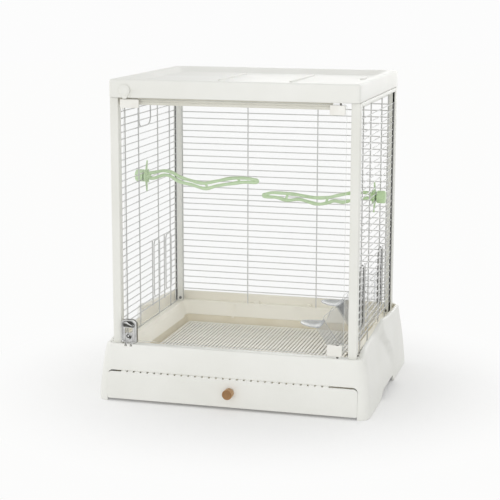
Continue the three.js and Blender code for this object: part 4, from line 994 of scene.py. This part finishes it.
def make_turn_button():
    """A teardrop plate with a low dome on its round head."""
    (x0, x1), _, (_, z1) = span("turn_button")
    cx, cz, r = (x0 + x1) / 2, z1 - 9, 9
    back = -163.8
    steps = 40
    outline = []
    for k in range(steps):
        angle = -0.5 + (pi + 1) * k / (steps - 1)
        outline.append((r * cos(angle), r * sin(angle)))
    outline += [(-5.6, -8), (-3.4, -12.4), (-2.4, -13), (2.4, -13), (3.4, -12.4), (5.6, -8)]
    profile = [(0.97, 0), (1, -0.5), (1, -1.7), (0.985, -2.2), (0.94, -2.6), (0.86, -2.8)]
    shape = Shape().loft([
        [(cx + a * scale, back + y, cz + b * scale) for a, b in outline] for scale, y in profile
    ])
    dome = [(8, 2.4), (7.8, 2.9), (6.9, 3.6), (5.6, 4.15), (4, 4.55), (2.2, 4.8), (0, 4.88)]
    shape.revolve(dome, (cx, back, cz), (0, -1, 0), 40)
    shape.revolve([(1.6, -4), (1.6, 1)], (cx, back, cz), (0, -1, 0), 20)
    piece("turn_button_moulded", shape, "button", WHITE, "turn_button")


# ---- perches ----

# Upper and lower stem of each perch: distance from the root, height over the stud.
LEFT_WAVE = (
    [
        (0, 3), (14, 6), (31, 9.3), (46, 7), (60, 0), (76, -4.6), (100, -9), (124, -4.4),
        (150, 1.2), (177, 2.2), (190, 0),
    ],
    [
        (0, -3), (13, -4), (31, 1.9), (42, 0.8), (58, -7.7), (81, -12.7), (104, -17.9),
        (124, -12.6), (147, -8.3), (170, -4.7), (190, -4.5),
    ],
)
RIGHT_WAVE = (
    [
        (0, 3), (18, 6.5), (36, 5), (56, 1), (73, -3.5), (88, -5.6), (103, -5.7), (132, -2),
        (160, -0.4), (176, -1), (184, -4),
    ],
    [
        (0, -3), (18, -3), (36, -7), (53, -11.3), (68, -9.9), (80, -14), (95, -16.4), (112, -13),
        (127, -9.8), (147, -12.3), (165, -8.3), (184, -8),
    ],
)


def make_perch(name, side, y, z, wave, struts):
    shape = Shape()
    upper, lower = wave

    def at(table, d):
        return Vector((side * (PERCH_ROOT - d), y, z + along(table, d)))

    steps = 64
    over = [at(upper, upper[-1][0] * k / steps) for k in range(steps + 1)]
    under = [at(lower, lower[-1][0] * k / steps) for k in range(steps + 1)]
    end = (over[-1] + under[-1]) / 2
    spread = (over[-1] - under[-1]).length / 2
    turn = []
    for k in range(1, 8):  # the round end that joins both stems
        angle = pi / 2 - pi * k / 8
        reach, rise = -side * cos(angle) * 4.2, sin(angle) * max(spread, 2)
        turn.append(end + Vector((reach, 0, rise)))
    path = over + turn + under[::-1]
    thick = [PERCH_R + 0.35 * sin(i * 0.55) * sin(i * 0.17) for i in range(len(path))]
    shape.tube(path, thick, 14)
    for d in struts:
        shape.tube([at(upper, d), at(lower, d + 4)], [2.2, 1.9], 10)
    # the leaf-shaped plate: a round boss with an upper and a lower blade
    boss = [
        (11, -2.8), (11, -0.6), (10.6, 0), (9, 0.2), (8.4, 0.9), (6, 1.6), (4.6, 3.4), (3.6, 6),
        (0, 6.4),
    ]
    shape.revolve(boss, (side * 192.2, y, z), (-side, 0, 0), 36)
    for up in (-1, 1):
        rings = []
        for t, wide in (
            (0, 5.4), (0.2, 5.2), (0.42, 4.1), (0.62, 2.9), (0.8, 1.8), (0.93, 1), (1, 0.35),
        ):
            h = 7 + 18.8 * t
            lean = 1.2 * t
            bow = up * 1.6 * t * t
            rings.append([
                (side * (195.0 - 1.4 + 1.35 * cos(a) - lean), y + wide * sin(a) + bow, z + up * h)
                for a in circle(14)
            ])
        shape.loft(rings)
    centre = Vector((side * 191.6, y, z))
    for k in range(6):  # a crown of small sepals round the boss
        a = radians(30 + 60 * k)
        out = Vector((0, cos(a), sin(a)))
        sepal = [
            centre + out * reach - Vector((side * droop, 0, 0))
            for reach, droop in ((6, 0), (9, 1.5), (11.6, 2.6))
        ]
        shape.tube(sepal, [1.9, 1.6, 0.5], 8)
    node = name + "_perch"
    stud = span(node)[0]
    stud_end = stud[0] + 0.2 if side < 0 else stud[1] - 0.2
    shape.tube([(side * 192, y, z), (stud_end, y, z)], 3, 20)
    piece(node + "_stems", shape, "cage", GREEN, node, sharp=50)
    # the nut: fluted rim and a rounded cap
    x0, x1 = span(node + "_nut")[0]
    near, far = (x1, x0) if side < 0 else (x0, x1)
    length = abs(far - near)
    rings = []
    flutes, sides = 16, 96
    for r, h in (
        (9.4, 0), (10.2, 0.5), (10.45, 1.4), (10.45, length - 3), (10.1, length - 1.4),
        (9.2, length - 0.4), (7.8, length), (3, length),
    ):
        deep = 0.45 if 1 < h < length - 1 else 0.15
        ring = []
        for a in circle(sides):
            rr = r - (deep * (0.5 - 0.5 * cos(flutes * a)) if r > 5 else 0)
            ring.append((near + side * h, y + rr * cos(a), z + rr * sin(a)))
        rings.append(ring)
    nut = Shape().loft(rings)
    bore = Shape().revolve([(3.3, -1), (3.3, length - 1.6)], (near, y, z), (side, 0, 0), 24)
    body = "nut_" + name
    piece(name + "_nut_fluted", nut, body, GREEN, node + "_nut", carve=[bore])


# ---- cups ----


def make_cup(name):
    """A clear feeder cup with a dished spout and two hooks."""
    node, rides = "feeder_cup_" + name, "cup_" + name
    _, (y0, y1), (z0, z1) = span(node)
    back, lip, t = 190.5, 123.0, 2.0
    mid = (y0 + y1) / 2
    outer = fillet([
        (back, z1, 1), (back, z0 + 20, 5), (back - 18, z0, 7), (lip + 27, z0, 9), (lip, z0 + 40, 2),
        (lip + 8, z0 + 42, 1), (lip + 14, z0 + 59, 3),
    ], 6)

    def ring(y, inset):
        cx, cz = 160, z0 + 45
        wide, tall = 1 - inset / 34, 1 - inset / 50
        return [(cx + (x - cx) * wide, y, cz + (z - cz) * tall) for x, z in outer]

    cup = Shape().loft([
        ring(y0, 1.4), ring(y0 + 0.5, 0.4), ring(y0 + 1.4, 0), ring(y1 - 1.4, 0),
        ring(y1 - 0.5, 0.4), ring(y1, 1.4),
    ])
    n = len(outer)
    # the end bands take the denser painted reflection colour
    cup.looks = [1] * (2 * n) + [0] * n + [1] * (2 * n) + [0, 0]
    inner = fillet([
        (back - t, z1 + 12, 0), (back - t, z0 + 20 + t, 4), (back - 18 - t / 2, z0 + t, 6),
        (lip + 28, z0 + t, 7), (lip + t + 0.6, z0 + 40, 1), (lip + t + 0.6, z1 + 12, 0),
    ], 6)
    carve = [Shape().prism(inner, "y", y0 + t, y1 - t)]
    looks = [CUP, CUP_EDGE_REFLECTION]
    piece(node + "_body", cup, rides, looks, node, carve=carve, sharp=30)
    # the spout: a dished spoon in front of the lip, all in the denser edge colour as painted
    # reflection
    rings = []
    ribs, across = 12, 12
    for i in range(ribs + 1):
        u = i / ribs
        half = 24.5 * sqrt(max(0.02, 1 - (u * 0.98) ** 2.6)) * (1 - 0.18 * u)
        x = lip + 5 - 34.5 * u
        dish = 3.4 * sin(pi * min(1, u * 0.9 + 0.12))
        upper, lower = [], []
        for j in range(across + 1):
            v = j / across * 2 - 1
            z = z0 + 38.2 - dish * (1 - v * v) + 2.2 * u * u
            upper.append((x, mid + half * v, z + 0.8))
            lower.append((x, mid + half * v * 0.985, z - 0.8))
        rings.append(upper + lower[::-1])
    piece(node + "_spout", Shape().loft(rings), rides, CUP_EDGE_REFLECTION, sharp=60)
    hooks = Shape()
    rise = row_z(6) + WIRE_R + 0.3
    for y in (y0 + 0.4, y1 - 3):  # each reaches over a row wire and turns down behind it
        hooks.block((back - 1, 199.6), (y, y + 2.6), (rise, rise + 2))
        hooks.block((197.7, 199.6), (y, y + 2.6), (rise - 4.5, rise + 0.2))
    piece(node + "_hooks", hooks, rides, CUP, bevel=0.4)


# ---- build ----

make_base()
make_base_details()
make_floor_grid()
make_drawer()
for end, sy in (("front", -1), ("rear", 1)):
    for hand, sx in (("left", -1), ("right", 1)):
        make_post(f"{end}_{hand}", sx, sy)
make_rails()
make_cover()
make_side_panel(-1, LEFT_SPANS, "left_panel")
make_side_panel(1, RIGHT_SPANS, "right_panel")
make_back_panel()
for hand, spans in (("left", LEFT_SPANS), ("right", RIGHT_SPANS)):
    for end, way in zip(("front", "rear"), spans):
        make_hatch(hand, end, *way)
make_treat_hook()
make_door()
make_latch()
make_turn_button()
make_perch("left", -1, -7.5, 345.125, LEFT_WAVE, (104, 160))
make_perch("right", 1, 11.5, 322.625, RIGHT_WAVE, (78, 146))
make_cup("front")
make_cup("rear")


# ---- stage, light and camera ----

SHOWN_WHITE = 0.975  # strength of the white that the camera sees


def any_ray(tree):
    """1 for rays seen straight, in a reflection or through something clear."""
    rays = add_node(tree, "LightPath").outputs
    either = add_node(tree, "Math", {0: rays["Is Camera Ray"], 1: rays["Is Glossy Ray"]}, "MAXIMUM")
    return add_node(tree, "Math", {0: either, 1: rays["Is Transmission Ray"]}, "MAXIMUM")


def backdrop():
    """A pale floor that keeps the shadow near the object and is white further out."""
    material = bpy.data.materials.new("floor_pale")
    material.use_nodes = True
    tree = material.node_tree
    tree.nodes.remove(tree.nodes["Principled BSDF"])
    diffuse = add_node(tree, "BsdfDiffuse", {"Color": (0.93, 0.93, 0.925, 1)})
    white = add_node(tree, "Emission", {"Color": (1, 1, 0.995, 1), "Strength": SHOWN_WHITE})
    where = add_node(tree, "TexCoord")
    length = add_node(tree, "VectorMath", {0: where.outputs["Object"]}, "LENGTH")
    fade = add_node(tree, "MapRange", {
        "From Min": 0.2, "From Max": 0.5, "To Min": 0.15, "Value": length.outputs["Value"],
    })
    fade.interpolation_type = "SMOOTHSTEP"
    share = add_node(tree, "Math", {0: any_ray(tree), 1: fade}, "MULTIPLY")
    mix = add_node(tree, "MixShader", {"Fac": share, 1: diffuse, 2: white})
    feed(tree.nodes["Material Output"], {"Surface": mix})
    bm = bmesh.new()
    bmesh.ops.create_circle(bm, cap_ends=True, radius=9, segments=96)
    mesh = bpy.data.meshes.new("floor")
    bm.to_mesh(mesh)
    bm.free()
    mesh.materials.append(material)
    add_object("floor", mesh)


def lamp(name, size, power, place, target):
    light = bpy.data.lights.new(name, "AREA")
    light.shape = "RECTANGLE"
    light.size, light.size_y = size
    light.energy = power
    obj = add_object(name, light)
    obj.location = place
    obj.rotation_euler = (Vector(target) - Vector(place)).to_track_quat("-Z", "Y").to_euler()


def light():
    world = bpy.data.worlds.new("studio")
    world.use_nodes = True
    tree = world.node_tree
    ambient = tree.nodes["Background"]
    feed(ambient, {"Color": (1, 1, 1, 1), "Strength": 0.8})
    shown = add_node(tree, "Background", {"Color": (1, 1, 1, 1), "Strength": SHOWN_WHITE})
    mix = add_node(tree, "MixShader", {"Fac": any_ray(tree), 1: ambient, 2: shown})
    feed(tree.nodes["World Output"], {"Surface": mix})
    bpy.context.scene.world = world
    lamp("overhead", (2.2, 2.2), 1, (0.1, -0.1, 2.3), (0, 0, 0.2))
    lamp("front_fill", (2.4, 1.6), 14.6, (0.3, -2.7, 0.6), (0, 0, 0.1))
    lamp("left_through", (1.8, 1.2), 8, (-2.0, 0.3, 0.8), (0, 0, 0.1))
    lamp("rear_through", (1.8, 1.0), 10, (0.2, 2.4, 0.72), (0, 0, 0.1))
    bpy.context.scene.view_settings.view_transform = "Standard"


def camera():
    data = bpy.data.cameras.new("view")
    data.lens = 102.93
    data.sensor_width = 36
    data.clip_end = 50
    obj = add_object("view", data)
    yaw, pitch, roll = radians(15.15), radians(10.99), radians(0.11)
    forward = Vector((-sin(yaw) * cos(pitch), cos(yaw) * cos(pitch), -sin(pitch)))
    right = Vector((cos(yaw), sin(yaw), 0))
    up = right.cross(forward)
    right, up = (right * cos(roll) + up * sin(roll), up * cos(roll) - right * sin(roll))
    turn = Matrix((right, up, -forward)).transposed()
    obj.matrix_world = Matrix.Translation((0.60032, -2.26998, 0.68187)) @ turn.to_4x4()
    bpy.context.scene.camera = obj


backdrop()
light()
camera()
